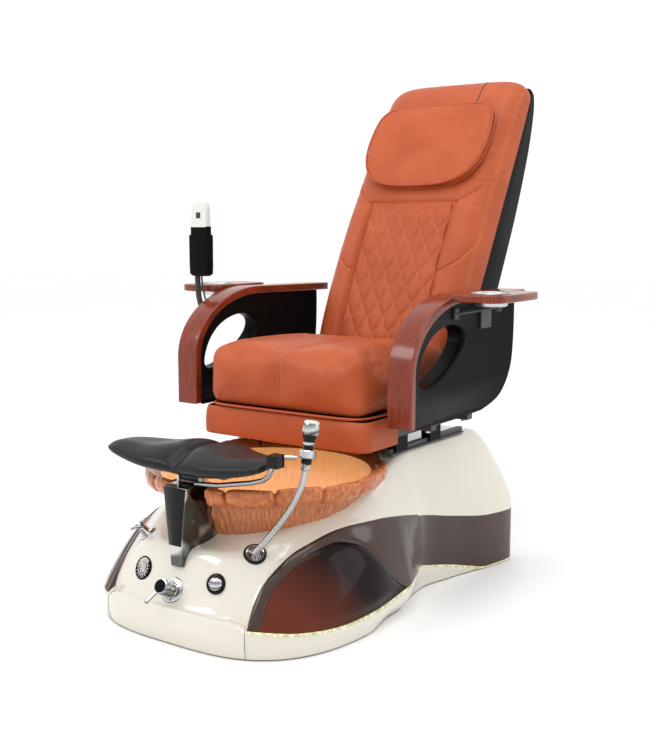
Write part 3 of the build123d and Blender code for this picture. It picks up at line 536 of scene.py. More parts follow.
right_half = half_outline()
outline = np.concatenate([right_half, (right_half * [-1, 1])[-2:0:-1]])
COLS = len(outline)
nxt, prv = np.roll(outline, -1, 0), np.roll(outline, 1, 0)
tangent = nxt - prv
normals = np.stack([tangent[:, 1], -tangent[:, 0]], 1)
normals /= np.linalg.norm(normals, axis=1)[:, None]
for _ in range(6):
    normals = (np.roll(normals, 1, 0) + 2 * normals + np.roll(normals, -1, 0))
    normals /= np.linalg.norm(normals, axis=1)[:, None]
ox, oy = outline.T

# The deck's edge, the brow, lies inward of the outline: where girth is 1 on the way from the spine to the outline.
# The deck is rings from the brow to the spine, and the rings' ends inside the bowl are dropped.
rings = np.concatenate([[1.0, 0.9965, 0.992], np.linspace(0.985, 0.8, 22), np.linspace(0.78, 0.0, 34)])
spine = np.stack([np.zeros(COLS), np.clip(oy, LOBE_Y, 420)], 1)
near, far = np.full(COLS, 0.5), np.ones(COLS)
for _ in range(30):
    middle = (near + far) / 2
    p = spine + (outline - spine) * middle[:, None]
    beyond = girth(p[:, 0], p[:, 1]) > 1.0
    near, far = np.where(beyond, near, middle), np.where(beyond, middle, far)
reach = np.where(far > 0.9995, 1.0, far)
for _ in range(3):
    reach = (np.roll(reach, 1) + 2 * reach + np.roll(reach, -1)) / 4
brow = spine + (outline - spine) * reach[:, None]
on_side = (brow[:, 1] > NOSE_END) & (oy < REAR_END) & (np.abs(ox) > 190)
deck_pts = []
for t in rings:
    p = spine + (brow - spine) * t
    z = deck(p[:, 0], p[:, 1])
    if t == 1.0:
        p = p - normals * 1.6
        z = z - 1.2
    elif t == 0.9965:
        z = z - 0.25
    deck_pts.append(np.column_stack([p, z]))
deck_pts = np.array(deck_pts)
radial = np.hypot(deck_pts[..., 0], deck_pts[..., 1] - BOWL_Y)
inside = BOWL_OUT(np.clip(deck_pts[..., 2], 101, 349)) - 4.0
gone = radial < inside
faces, used = [], []
for f in grid_faces(len(rings), COLS, True):
    flags = [gone[i // COLS, i % COLS] for i in f]
    if not all(flags):
        faces.append(f)
        used += [i for i, g in zip(f, flags) if g]
for i in set(used):
    r, c = divmod(i, COLS)
    x, y = deck_pts[r, c, 0], deck_pts[r, c, 1] - BOWL_Y
    k = inside[r, c] / max(radial[r, c], 1e-6)
    deck_pts[r, c, 0], deck_pts[r, c, 1] = x * k, y * k + BOWL_Y
deck_verts = deck_pts.reshape(-1, 3)

# walls: bands of rows under the edge
edge_z = deck_pts[0, :, 2]
sill = np.minimum(SILL(oy), edge_z - 8)
run = np.hypot(*(outline - brow).T)
drop = edge_z - sill
lip_t = 5.0 / np.maximum(np.hypot(run, drop), 12)
face_out = np.column_stack([normals * drop[:, None], run])
face_out /= np.linalg.norm(face_out, axis=1)[:, None]
flat_out = np.column_stack([normals, np.zeros(COLS)])
band_rows = [("lip", 4), ("panel", 34), ("strip", 4), ("skirt", 14)]
PANEL_ROWS = slice(5, 39)
wall, band_of_row = [deck_pts[0]], []
for band, count in band_rows:
    for k in range(1, count + 1):
        t = k / count
        plan, direction = outline, flat_out
        if band in ("lip", "panel"):
            u = lip_t * t if band == "lip" else lip_t + (1 - lip_t) * t
            plan = brow + (outline - brow) * u[:, None]
            z = edge_z + (sill - edge_z) * np.where(run > 6, u**1.4, u)
            direction = face_out
            out = np.where(on_side, -1.2 + 0.8 * t, -1.2 + 1.2 * t) if band == "lip" else np.where(on_side, -0.4, 0.0)
        if band == "panel":
            arc = np.minimum(DOME(plan[:, 1]), edge_z - 8)
            v = np.clip((z - sill) / np.maximum(arc - sill, 1), 0, 1.4)
            ends = smooth((oy + 500) / 150) * smooth((-60 - oy) / 150)
            bulge = np.where(v < 1, np.sqrt(np.maximum(1 - v**2.6, 0)), 0.0) * smooth((1 - u) / 0.1)
            groove = -4.0 * np.exp(-((z - arc) / 7.0) ** 2) * smooth((oy + 330) / 120) * smooth((-50 - oy) / 60)
            out = out + np.where(on_side & (oy < DOME_REAR), 15 * ends * bulge + groove, 0)
        elif band == "strip":
            z = sill - 7.0 * t
            low = np.where(on_side & (oy < -50), 1.5, 0.5)
            out = np.where(on_side, low + 1.5 * math.sin(t * math.pi), 0.0)
        elif band == "skirt":
            z0 = sill - 7.0
            z = np.minimum(z0 * (1 - t) + 3.0 * t, z0)
            swell = np.where(on_side & (oy < -40), 4.0 * smooth((oy + 505) / 60), np.where(on_side, 1.0, 0.0))
            out = swell * math.cos(min(t * 1.5, 1) * math.pi / 2) - INSET(oy) * t**1.8
            out = out + np.where(on_side, 0, 3.0 * math.sin(t * math.pi) * smooth((60 - oy) / 400))
        z = np.maximum(z, 2.5)
        wall.append(np.column_stack([plan, z]) + direction * np.asarray(out * np.ones(COLS))[:, None])
        band_of_row.append(band)
wall = np.array(wall)



def dome_arc(point, column):
    """Height of the dome's edge, where the painted highlight ends, at a point of the wall."""
    return min(float(DOME(point[1])), edge_z[column] - 8)


cream_f, panel_f, strip_f, panel_m = [], [], [], []
for f in grid_faces(len(wall), COLS, True):
    r, c = divmod(f[0], COLS)
    side = on_side[c] and on_side[f[1] % COLS]
    band = band_of_row[r]
    if side and band == "panel":
        panel_f.append(f)
        # faces under the dome's arc take the painted highlight (material 1)
        panel_m.append(1 if oy[c] < DOME_REAR and wall[r, c, 2] < dome_arc(wall[r, c], c) + 1 else 0)
    elif side and band == "strip" and abs(ox[c]) > 200 and oy[c] < 470:
        strip_f.append(f)
    else:
        cream_f.append(f)


def subset(name, verts, faces, mats, face_mats=None, angle=40.0):
    keep = sorted({i for f in faces for i in f})
    index = {i: n for n, i in enumerate(keep)}
    return add_mesh(name, verts[keep], [tuple(index[i] for i in f) for f in faces], mats, angle, face_mats)


wall_verts = wall.reshape(-1, 3)
offset = len(deck_verts)
all_verts = np.concatenate([deck_verts, wall_verts])
base_faces = [tuple(reversed(f)) for f in faces] + [tuple(i + offset for i in f) for f in cream_f]
shell = subset("base_moulding", all_verts, base_faces, CREAM, None, 50)
face_outward(shell, 2e-5)
shade(shell, 50)
done(shell, "base", ("base_shell",))
left = [i for i, f in enumerate(panel_f) if wall_verts[f[0], 0] > 0]
right = [i for i, f in enumerate(panel_f) if wall_verts[f[0], 0] <= 0]
for picks, node in ((left, "side_panel_left"), (right, "side_panel_right")):
    # each panel: burgundy, with the painted highlight under the dome
    ob = subset(node + "_skin", wall_verts, [panel_f[i] for i in picks], [BURGUNDY, PANEL_HIGHLIGHT],
                [panel_m[i] for i in picks], 55)
    done(ob, "base", (node,))
ob = subset("light_strip_skin", wall_verts, strip_f, STRIP, None, 60)
done(ob, "base", ("light_strips",))

# the edge of the dome, whose face carries the painted highlight
for sign in (1, -1):
    line = []
    cols = [c for c in range(COLS) if ox[c] * sign > 0 and on_side[c] and oy[c] < -62]
    for c in sorted(cols, key=lambda c: oy[c]):
        rows = wall[PANEL_ROWS, c]
        level = [dome_arc(p, c) - p[2] for p in rows]
        for a, b, la, lb in zip(rows, rows[1:], level, level[1:]):
            if la < 0 <= lb:
                line.append(a + (b - a) * la / (la - lb) + face_out[c] * 0.2)
                break
    if len(line) > 4:
        done(tubes("dome_edge", [line], 2.0, BURGUNDY, 3), "base")

# the moulding's joint in front of each panel
seam_lines = []
for sign in (1, -1):
    col = min(range(COLS), key=lambda c: abs(brow[c, 1] - NOSE_END) + (1000 if ox[c] * sign < 0 else 0))
    seam_lines.append([wall[r, col] for r in range(2, len(wall))])
done(tubes("moulding_joints", seam_lines, 0.8, CREAM_GAP, 2), "base")


# ---------------------------------------------------------------- bowl
STEPS = 720
SEGMENTS = 16
POST_BACK, POST_CLEAR = -417.0, 56  # the bowl is flat behind the foot rest's post
RIM_BAND, OUTSIDE = 1, 0  # a station's third number, which is also its material's place; 2 is the inside
profile = [(0, 124, 2), (60, 124, 2), (120, 125, 2), (145, 128, 2), (165, 142, 2), (190, 175, 2), (206, 208, 2),
           (218, 240, 2), (232, 280, 2), (246, 308, 2), (256, 326, 2), (268, 342, 2), (278, 351, 1), (288, 356, 1),
           (296, 360, 1), (302, 360, 1), (306, 356, 1), (308, 348, 1), (307, 338, 1), (303, 327, 1), (296, 319, 1),
           (288, 315, 1), (280, 316, 1), (271, 314, 0), (265, 306, 0), (254, 284, 0), (243, 262, 0), (232, 236, 0),
           (221, 210, 0), (206, 180, 0), (190, 152, 0), (170, 130, 0)]
verts, uvs = [], []
length = 0.0
for i, (r, z, kind) in enumerate(profile):
    if i:
        length += math.hypot(r - profile[i - 1][0], z - profile[i - 1][1])
    for a in around(STEPS):
        phase = (a / (2 * math.pi) * SEGMENTS + 0.15) % 1.0
        which = int(a / (2 * math.pi) * SEGMENTS + 0.15) % SEGMENTS
        near = min(phase, 1 - phase)
        notch = math.exp(-(near / 0.035) ** 2)
        wobble = noise.noise(Vector((math.cos(a) * 5, math.sin(a) * 5, z * 0.03)))
        fine = noise.noise(Vector((math.cos(a) * 26, math.sin(a) * 26, z * 0.08)))
        crown = math.sin(math.pi * phase) ** 0.6
        tilt = 3.5 * math.sin(which * 2.4)
        dr = dz = 0.0
        if kind == RIM_BAND:
            dr = 4.0 * crown - 9.0 * notch + 2.2 * wobble + 1.6 * fine - 2
            dz = 5.0 * crown - 9 * notch + tilt * 0.6 + 2.4 * wobble + 1.2 * fine - 3
            if z < 330:
                dz = -3.5 * crown + 2.5 * wobble + tilt * 0.5 + 3
        elif kind == OUTSIDE:
            ripple = math.sin(a * 90 + 3 * wobble)
            dr = 0.9 * ripple + 1.4 * fine + 1.0 * wobble
        else:
            dr = 0.8 * math.sin(a * 64) * (1 if r > 150 else 0) + 1.2 * wobble
        rr = max(r + dr, 0.0) if r else 0.0
        px, py = rr * math.cos(a), BOWL_Y + rr * math.sin(a)
        verts.append((px, max(py, POST_BACK) if abs(px) < POST_CLEAR else py, z + dz))
        uvs.append((a / (2 * math.pi) * 1.9, length * 0.001))
faces = grid_faces(len(profile), STEPS, True)
face_kind = [min(profile[n // STEPS][2], profile[n // STEPS + 1][2]) for n in range(len(faces))]
bowl = add_mesh("foot_bowl", verts, faces, [BOWL, RIM, AMBER_GLOW], 60, face_kind)
set_uv(bowl, uvs)
done(bowl, "base", ("bowl",))


# ---------------------------------------------------------------- fittings on the nose
def plane_at(x, y, lift=0.0):
    """A plane on the moulding at (x, y), square to it."""
    span = 14.0
    rise_x = float(deck(x + span, y) - deck(x - span, y)) / (2 * span)
    rise_y = float(deck(x, y + span) - deck(x, y - span)) / (2 * span)
    z = Vector((-rise_x, -rise_y, 1)).normalized()
    xd = Vector((1, 0, 0))
    xd = (xd - z * xd.dot(z)).normalized()
    return (Vector((x, y, float(deck(x, y)))) + z * lift, xd, z.cross(xd), z)


def at(plane, a, b, h):
    """A point given in a plane's own axes."""
    o, x, y, z = plane
    return o + x * a + y * b + z * h


MIXER = plane_at(0, -520)
BUTTON = plane_at(115, -498)
VENT = plane_at(-111, -500)
TAP = plane_at(-163, -431)
GROMMET = plane_at(166, -420)

done(revolve("mixer_plate", [(31, -3), (31, 1), (29.5, 3), (26, 4.4), (19, 5.5), (17.5, 7), (17.5, 24), (17, 26),
                             (15, 26.4), (1, 26.4)], MIXER, CHROME), "base", ("mixer_body",))
knob = revolve("mixer_knob", [(4, 10), (6, 26), (16, 27), (18.5, 28.5), (19, 31), (19, 42), (18, 44.5), (15, 45.5),
                              (1, 45.5)], MIXER, CHROME)
face = revolve("mixer_knob_face", [(15.2, 45.2), (15.2, 46.1), (14, 46.6), (1, 46.8)], MIXER, BLACK)
lever = tubes("mixer_lever", [[at(MIXER, -8, -12, 37), at(MIXER, -16, -26, 41), at(MIXER, -24, -42, 45)]], 3.6, CHROME)
tip = revolve("mixer_lever_tip", [(0.5, 49.5), (4, 48.6), (5.4, 46), (4.6, 43), (1, 41)],
              (at(MIXER, -24, -42, 0), MIXER[1], MIXER[2], MIXER[3]), CHROME, 24)
done(join("mixer_lever_set", [knob, face, lever, tip]), "mixer", ("mixer_handle",))

done(revolve("button_ring", [(24, -3), (24, 1.5), (23, 4), (21, 5.4), (19.4, 5.6), (18.4, 4.6), (18.2, -4)],
             BUTTON, GLOSS_BLACK), "base", ("button_bezel",))
done(revolve("jet_button_dome", [(17.8, -4), (17.8, 3), (16.8, 6.5), (14, 10), (9, 12.8), (4, 14.1), (0.4, 14.3)],
             BUTTON, CHROME), "button", ("jet_button",))

vent = [revolve("vent_ring", [(29, -3), (29, 1), (28, 2.6), (26, 3), (24.5, 2.2), (24, 0.4), (1, 0.4)], VENT, BLACK)]
for ring in (9.5, 17.0):
    vent.append(revolve(f"vent_rib_{ring:.0f}", [(ring - 1.1, 0.2), (ring - 1.1, 2.6), (ring + 1.1, 2.6),
                                                 (ring + 1.1, 0.2)], VENT, BRUSHED, 48, 30))
vent.append(tubes("vent_spokes", [[at(VENT, 4 * math.cos(a), 4 * math.sin(a), 2.2),
                                   at(VENT, 24.5 * math.cos(a), 24.5 * math.sin(a), 2.2)]
                                  for a in around(16)], 1.15, BRUSHED, 2))
vent.append(revolve("vent_hub", [(5, 0), (5, 3), (4, 4), (0.4, 4.2)], VENT, BRUSHED, 32))
done(join("vent_cover", vent), "base", ("vent_grille",))

done(revolve("tap_stem", [(22, -3), (22, 1), (20, 3.4), (14, 4.6), (11.5, 7), (11, 20), (10, 24), (8, 26), (1, 26)],
             TAP, CHROME), "base", ("tap_body",))
knob = revolve("tap_hub", [(5, 20), (12, 26.5), (14, 28), (14, 33), (12, 36), (7, 38), (0.4, 38.5)], TAP, CHROME)
arms = [tubes("tap_arm", [[at(TAP, 0, 0, 31), at(TAP, e * 14, e * 6, 32), at(TAP, e * 25, e * 11, 33.5)]], 3.6, CHROME)
        for e in (-1, 1)]
done(join("tap_cross", [knob] + arms), "tap", ("tap_handle",))

ring = revolve("grommet_ring", [(27, -3), (27, 1.2), (25.6, 3.4), (23, 4.4), (20.5, 4.2), (19.4, 2.6), (19.2, -6),
                                (18, -9)], GROMMET, GLOSS_BLACK)
lip = revolve("grommet_lip", [(21.6, 4.0), (21.2, 4.9), (20.2, 4.9), (19.6, 4.0)], GROMMET, CHROME, 64, 60)
well = revolve("grommet_well", [(20.0, 1.4), (12, 0.9), (0.5, 0.8)], GROMMET, RUBBER)
done(join("hose_port", [ring, lip, well]), "base", ("hose_grommet",))


# ---------------------------------------------------------------- foot rest
POST_LOW, POST_HIGH = 176, 364


def post_front(t):
    """Half width and Y of the post's front, t of the way up."""
    return 17 + 19 * t**1.3, -506 - 2 * math.sin(t * math.pi)


def loft_post():
    """Tapered post in stainless sheet with a curved rear edge."""
    verts, rows = [], 26
    for k in range(rows):
        t = k / (rows - 1)
        z = POST_LOW + (POST_HIGH - POST_LOW) * t
        front_half, front_y = post_front(t)
        rear_y = -352 - 0.36 * (z - POST_LOW)
        rear_half = 27 + 12 * t
        loop = [(-front_half + 2, front_y), (front_half - 2, front_y), (front_half, front_y + 2)]
        for s in (0.25, 0.5, 0.75):
            loop.append((front_half + (rear_half - front_half) * s, front_y + (rear_y - front_y) * s))
        loop += [(rear_half, rear_y), (-rear_half, rear_y)]
        for s in (0.75, 0.5, 0.25):
            loop.append((-front_half - (rear_half - front_half) * s, front_y + (rear_y - front_y) * s))
        loop.append((-front_half, front_y + 2))
        verts += [(x, y, z) for x, y in loop]
    n = 12
    faces = grid_faces(rows, n, True) + [tuple((rows - 1) * n + k for k in range(n))]
    return add_mesh("footrest_post", verts, faces, MIRROR, 30)


post = loft_post()
ears = [plate(f"ear_{s}", [[(-459, 360), (-431, 360), (-431, 380), (-438, 386), (-452, 386), (-459, 380)]],
              THICK_X, 31 * s - 3, 31 * s + 3, 0.8, BRUSHED) for s in (-1.1, 1.1)]
axle = tubes("rest_axle", [[(-42, -445, 376), (42, -445, 376)]], 6, BRUSHED, 5)
done(join("footrest_post", [post, axle] + ears), "base", ("pedestal",))
verts = []
for k in range(20):
    z = 226 + (362 - 226) * (k / 19)
    half, y = post_front((z - POST_LOW) / (POST_HIGH - POST_LOW))
    half -= 1.0
    verts += [(-half, y - 0.6, z), (-half * 0.93, y - 2.2, z), (0, y - 3.0, z), (half * 0.93, y - 2.2, z),
              (half, y - 0.6, z)]
done(add_mesh("post_insert", verts, grid_faces(20, 5), GLOSS_BLACK, 50), "base", ("pedestal_front",))

PAD_FRONT = curve_through([(-236, -474), (-229, -494), (-190, -507), (-90, -519), (0, -512), (90, -519), (190, -507),
                           (229, -494), (236, -474)])
PAD_REAR = curve_through([(-236, -444), (-229, -420), (-190, -388), (-120, -346), (-50, -312), (0, -308), (50, -312),
                          (120, -346), (190, -388), (229, -420), (236, -444)])
verts = []
ROWS, RIMS = 121, 96
PAD_HALF = 236
for i in range(ROWS):
    x = -PAD_HALF * math.cos(math.pi * i / (ROWS - 1))
    x = x * 0.5 + (-PAD_HALF + 2 * PAD_HALF * i / (ROWS - 1)) * 0.5
    f, r = float(PAD_FRONT(x)), float(PAD_REAR(x))
    mid, depth = (f + r) / 2, max((r - f) / 2, 1.5)
    ax = abs(x)
    outward = ax / PAD_HALF
    end = math.sqrt(max(1 - (ax / (PAD_HALF + 0.5)) ** 14, 0.0))
    groove = 15 * math.exp(-(x / 13.0) ** 2) + 7 * math.exp(-(x / 34.0) ** 2)
    for a in around(RIMS):
        ca, sa = math.cos(a), math.sin(a)
        y = mid + depth * math.copysign(abs(ca) ** (2 / 3.0), ca)
        s = (y - f) / max(r - f, 1)
        crown = 449 - 3 * outward**2 + 9 * math.sin(math.pi * min(max(s, 0), 1)) * (1 - outward**3)
        sag = 13 * math.exp(-((ax - 118) / 62) ** 2) * math.exp(-((s - 0.55) / 0.4) ** 2)
        front_drop = 13 * (1 - smooth(s / 0.35)) * (1 - 0.5 * outward)
        top_z = crown - sag - groove - front_drop
        low_z = 385 + 34 * outward**2 + 8 * smooth(s) + groove * 0.2
        low_z = max(low_z, 394.5) if (ax < 122 and 0.2 < s < 0.8) else low_z
        centre, high = (top_z + low_z) / 2, (top_z - low_z) / 2 * (0.15 + 0.85 * end)
        centre = centre * end + 430 * (1 - end)
        z = centre + high * math.copysign(abs(sa) ** (2 / 2.6), sa)
        verts.append((x, y, z))
faces = grid_faces(ROWS, RIMS, True)
faces += [tuple(range(RIMS)), tuple((ROWS - 1) * RIMS + k for k in reversed(range(RIMS)))]
pad = add_mesh("foot_pad", verts, faces, PAD, 60)
done(pad, "footrest", ("footrest_pad",))

# ---------------------------------------------------------------- hand shower
LEAN = math.radians(14)
shower_z = Vector((0, math.sin(LEAN), math.cos(LEAN)))
SHOWER = (Vector((300, -408, 425)), Vector((1, 0, 0)), shower_z.cross(Vector((1, 0, 0))), shower_z)
body = revolve("shower_body", [(8.6, 0.3), (9, 3), (9, 12), (10, 14), (12, 16), (12.2, 30), (11.6, 44), (12.2, 58),
                               (14.5, 70), (18, 82)], SHOWER, GLOSS_BLACK)
nut = revolve("shower_nut", [(7, 0.3), (9.6, 0.8), (9.6, 11), (9, 12.5), (8, 13)], SHOWER, CHROME, 24)
head = revolve("shower_head", [(15.5, 74), (18.5, 83), (19.2, 88), (19, 98), (17, 104), (14, 106)], SHOWER, CHROME)
cap = revolve("shower_face", [(17, 103), (17.5, 106), (15, 110), (8, 111.5), (0.4, 112)], SHOWER, WHITE)
trim = revolve("shower_trim", [(12.6, 55), (13.1, 57), (13.1, 61), (12.8, 63)], SHOWER, CHROME, 48)
done(join("hand_shower", [body, nut, head, cap, trim]), "shower", ("handset",))

bar = tubes("holder_bar", [[(38, -476, 371), (110, -476, 378), (200, -476, 396), (234, -476, 406), (250, -476, 417),
                            (257, -474, 430), (260, -468, 446)]], 6, CHROME, 5)
block = plate("holder_block", [[(250, 437), (276, 437), (276, 466), (250, 466)]], THICK_Y, -483, -450, 3,
              GLOSS_BLACK)
link = tubes("holder_link", [[(262, -452, 457), (278, -436, 456), (288, -424, 454)]], 5.0, CHROME, 4)
collar = revolve("holder_collar", [(12.9, 26), (17.5, 26), (19, 28), (19, 42), (17.5, 44), (12.9, 44)], SHOWER, CHROME)
done(join("shower_holder", [bar, block, link, collar]), "base", ("handset_holder",))

HOSE = [(148, -417, 199), (176, -422, 226), (204, -425, 254), (231, -426, 284), (256, -425, 316),
        (276, -422, 346), (291, -418, 376), (300, -413.3, 403.7), (300, -408, 425)]


def cord_curve(name, points, radius, mat):
    """A cord kept as a round curve."""
    cu = bpy.data.curves.new(name, "CURVE")
    cu.dimensions = "3D"
    sp = cu.splines.new("NURBS")
    sp.points.add(len(points) - 1)
    for p, q in zip(sp.points, points):
        p.co = (*(Vector(q) * MM), 1)
    sp.order_u = 3
    sp.use_endpoint_u = True
    sp.resolution_u = 12
    cu.bevel_depth = radius * MM
    cu.bevel_resolution = 6
    cu.use_fill_caps = True
    cu.materials.append(mat)
    return put(name, cu)


HOSE_LOOK = material("steel_hose", (0.62, 0.62, 0.61), 0.22, metal=1.0)
nt = HOSE_LOOK.node_tree
coord = nt.nodes.new("ShaderNodeTexCoord")
wave = nt.nodes.new("ShaderNodeTexWave")
wave.wave_type = "BANDS"
wave.bands_direction = "DIAGONAL"
wave.inputs["Scale"].default_value = 95.0
wave.inputs["Distortion"].default_value = 0.4
nt.links.new(coord.outputs["Object"], wave.inputs["Vector"])
bump(HOSE_LOOK, wave.outputs["Fac"], 0.9, 0.0015)
# painted shade and highlight: the bands that make the windings' bump also darken their grooves and lighten their
# crests
mottle(HOSE_LOOK, wave.outputs["Fac"], (0.3, 0.3, 0.3), (0.78, 0.78, 0.77), 0.2, 0.8)


hose = cord_curve("shower_hose_skin", HOSE, 7.5, HOSE_LOOK)
done(hose, "base", ("shower_hose",))


# ---------------------------------------------------------------- soft pieces by cloth simulation
def puff(ob, voxel, pressure, cap, hold, frames=20, tension=15.0):
    """Remesh, blow up with the held part pinned, cap the motion, and subdivide once. voxel and cap are metres."""
    mod = ob.modifiers.new("remesh", "REMESH")
    mod.mode = "VOXEL"
    mod.voxel_size = voxel
    mats = list(ob.data.materials)
    ob = to_mesh(ob, mats, 180)
    rest = np.array([v.co for v in ob.data.vertices])
    group = ob.vertex_groups.new(name="hold")
    for v in ob.data.vertices:
        w = hold(v.co / MM)
        if w > 0:
            group.add([v.index], float(w), "REPLACE")
    cloth = ob.modifiers.new("cloth", "CLOTH")
    s = cloth.settings
    s.quality = 4
    s.mass = 0.3
    s.tension_stiffness = tension
    s.compression_stiffness = tension
    s.shear_stiffness = 5.0
    s.bending_stiffness = 0.6
    s.use_pressure = True
    s.uniform_pressure_force = pressure
    s.effector_weights.gravity = 0.0
    s.vertex_group_mass = "hold"
    cloth.collision_settings.use_collision = False
    for f in range(1, frames + 1):
        scene.frame_set(f)
    dg = bpy.context.evaluated_depsgraph_get()
    moved = np.array([v.co for v in ob.evaluated_get(dg).to_mesh().vertices])
    ob.modifiers.clear()
    scene.frame_set(1)
    step = moved - rest
    far = np.linalg.norm(step, axis=1, keepdims=True)
    step *= np.minimum(1, cap / np.maximum(far, 1e-9))
    set_points(ob, rest + step)
    ob.modifiers.new("sub", "SUBSURF").levels = 1
    return to_mesh(ob, mats, 180)


def rounded_box(name, low, high, radius, mat, segments=4):
    bm = bmesh.new()
    bmesh.ops.create_cube(bm, size=1.0)
    size = (Vector(high) - Vector(low)) * MM
    centre = (Vector(high) + Vector(low)) / 2 * MM
    for v in bm.verts:
        v.co = Vector((v.co.x * size.x, v.co.y * size.y, v.co.z * size.z)) + centre
    bmesh.ops.bevel(bm, geom=bm.edges[:], offset=radius * MM, segments=segments, affect="EDGES", profile=0.5)
    me = bpy.data.meshes.new(name)
    bm.to_mesh(me)
    bm.free()
    me.materials.append(mat)
    return put(name, me)


SEAT_LOW, SEAT_HIGH = (-249, -106, 484), (249, 345, 642)
seat = rounded_box("seat_cushion_skin", SEAT_LOW, SEAT_HIGH, 34, TAN)


def seat_hold(p):
    """Held along the bottom edge, the rear, and the sewn line down the middle."""
    low = p.z < SEAT_LOW[2] + 10
    seam = abs(p.x) < 5 and p.y < 160
    rear = p.y > 320
    return 1.0 if low or rear else (0.93 if seam else 0.0)


seat = puff(seat, 0.006, 5.0, 0.015, seat_hold)
co = np.array([v.co for v in seat.data.vertices]) / MM
nr = np.array([v.normal for v in seat.data.vertices])
seam = np.exp(-(co[:, 0] / 4.0) ** 2) * (co[:, 1] < 200)
co -= nr * (2.6 * seam)[:, None]
fold = np.array([noise.noise(Vector(p) * 0.011) * 2.2
                 + noise.noise(Vector((p[0] * 0.05, p[1] * 0.02, p[2] * 0.03))) * 0.7 for p in co])
keep_low = smooth((co[:, 2] - 495) / 40)
co += nr * (fold * keep_low)[:, None]
co[:, 2] = np.clip(co[:, 2], 480.5, 655)
co[:, 0] = np.clip(co[:, 0], -262, 262)
set_points(seat, co * MM)
shade(seat, 180)
done(seat, "seat", ("seat_cushion",))
tree = tree_of(seat)
lines = []
for x in (-4.5, 4.5):
    front = snap(tree, [(x, -300, z) for z in range(496, 618, 6)], (0, 1, 0), 0.35)
    over = snap(tree, [(x, y, 900) for y in range(-96, 150, 6)], (0, 0, -1), 0.35)
    lines.append(front + over)
done(stitches("seat_stitches", lines, THREAD), "seat")
low_pipe = []
for k in range(121):
    a = 2 * math.pi * k / 120
    ca, sa = math.cos(a), math.sin(a)
    x = 251 * math.copysign(abs(ca) ** 0.22, ca)
    y = 118 + 226 * math.copysign(abs(sa) ** 0.22, sa)
    low_pipe.append((x, y, 484))
done(tubes("seat_piping", [low_pipe], 3.6, TAN, 4), "seat")

# skirt of the seat: a thin upholstered band under the cushion
SKIRT_HALF, SKIRT_ROUND, SKIRT_FRONT = 262, 26, -104
flank = [(-SKIRT_HALF, 40 - 118 * k / 30) for k in range(31)]
corner = [(-SKIRT_HALF + SKIRT_ROUND * (1 - math.cos(a)), SKIRT_FRONT + SKIRT_ROUND * (1 - math.sin(a)))
          for a in [math.pi / 2 * k / 10 for k in range(1, 11)]]
front = [(-(SKIRT_HALF - SKIRT_ROUND) * (1 - k / 30), SKIRT_FRONT) for k in range(1, 61)]
path = flank + corner + front + [(-x, y) for x, y in reversed(flank + corner)]
tang = np.gradient(np.array(path, float), axis=0)
outn = np.stack([tang[:, 1], -tang[:, 0]], 1)
outn /= np.linalg.norm(outn, axis=1)[:, None]
prof = [(-3, 409), (-1.5, 404), (2, 402), (5.5, 404), (7, 409), (7.4, 420), (7.2, 432), (6.6, 446), (5, 460),
        (2.5, 470), (-1, 477), (-3, 478), (-3, 470), (-3, 430)]
verts = []
for d, z in prof:
    for (x, y), n_ in zip(path, outn):
        w = noise.noise(Vector((x * 0.012, y * 0.012, z * 0.01))) * 1.6
        sag = 2.5 * math.exp(-(x / 190.0) ** 2) if y < -90 else 0
        verts.append((x + n_[0] * (d + w), y + n_[1] * (d + w), z - (sag if z < 430 else 0)))
skirt = add_mesh("seat_skirt_skin", verts, grid_faces(len(prof), len(path)), TAN, 180)
face_outward(skirt)
done(skirt, "seat", ("seat_skirt",))

# ---------------------------------------------------------------- back
# The back leans 30 degrees. Its points are given by x, by up along the back from the hinge, and by fwd square to it.
C30, S30 = math.cos(math.radians(30)), math.sin(math.radians(30))
HINGE = np.array([0, 395.0, 560.0])
BACK_FOOT, BACK_TOP, TOP_ROUND = 42, 985, 66.0
QUILT_HALF, QUILT_TOP = 141, 500
DIAMOND_WIDE, DIAMOND_HIGH = 56.4, 96.0


def back_pts(x, up, fwd):
    x, up, fwd = np.broadcast_arrays(np.asarray(x, float), np.asarray(up, float), np.asarray(fwd, float))
    return np.stack([x, HINGE[1] + up * S30 - fwd * C30, HINGE[2] + up * C30 + fwd * S30], -1)


BACK_AXES = (Vector((0, S30, C30)), Vector((0, -C30, S30)), Vector((1, 0, 0)))
FRONT = curve_through([(42, 46), (120, 62), (250, 78), (380, 87), (500, 90), (640, 89), (750, 84), (850, 73),
                       (930, 55), (966, 36), (985, 6)])
HALF = curve_through([(42, 244), (120, 249), (300, 251), (600, 250), (800, 249), (900, 247), (985, 244)])
PILLOW_LOW = 543.0


def gauss(d, w):
    return np.exp(-(d / w) ** 2)


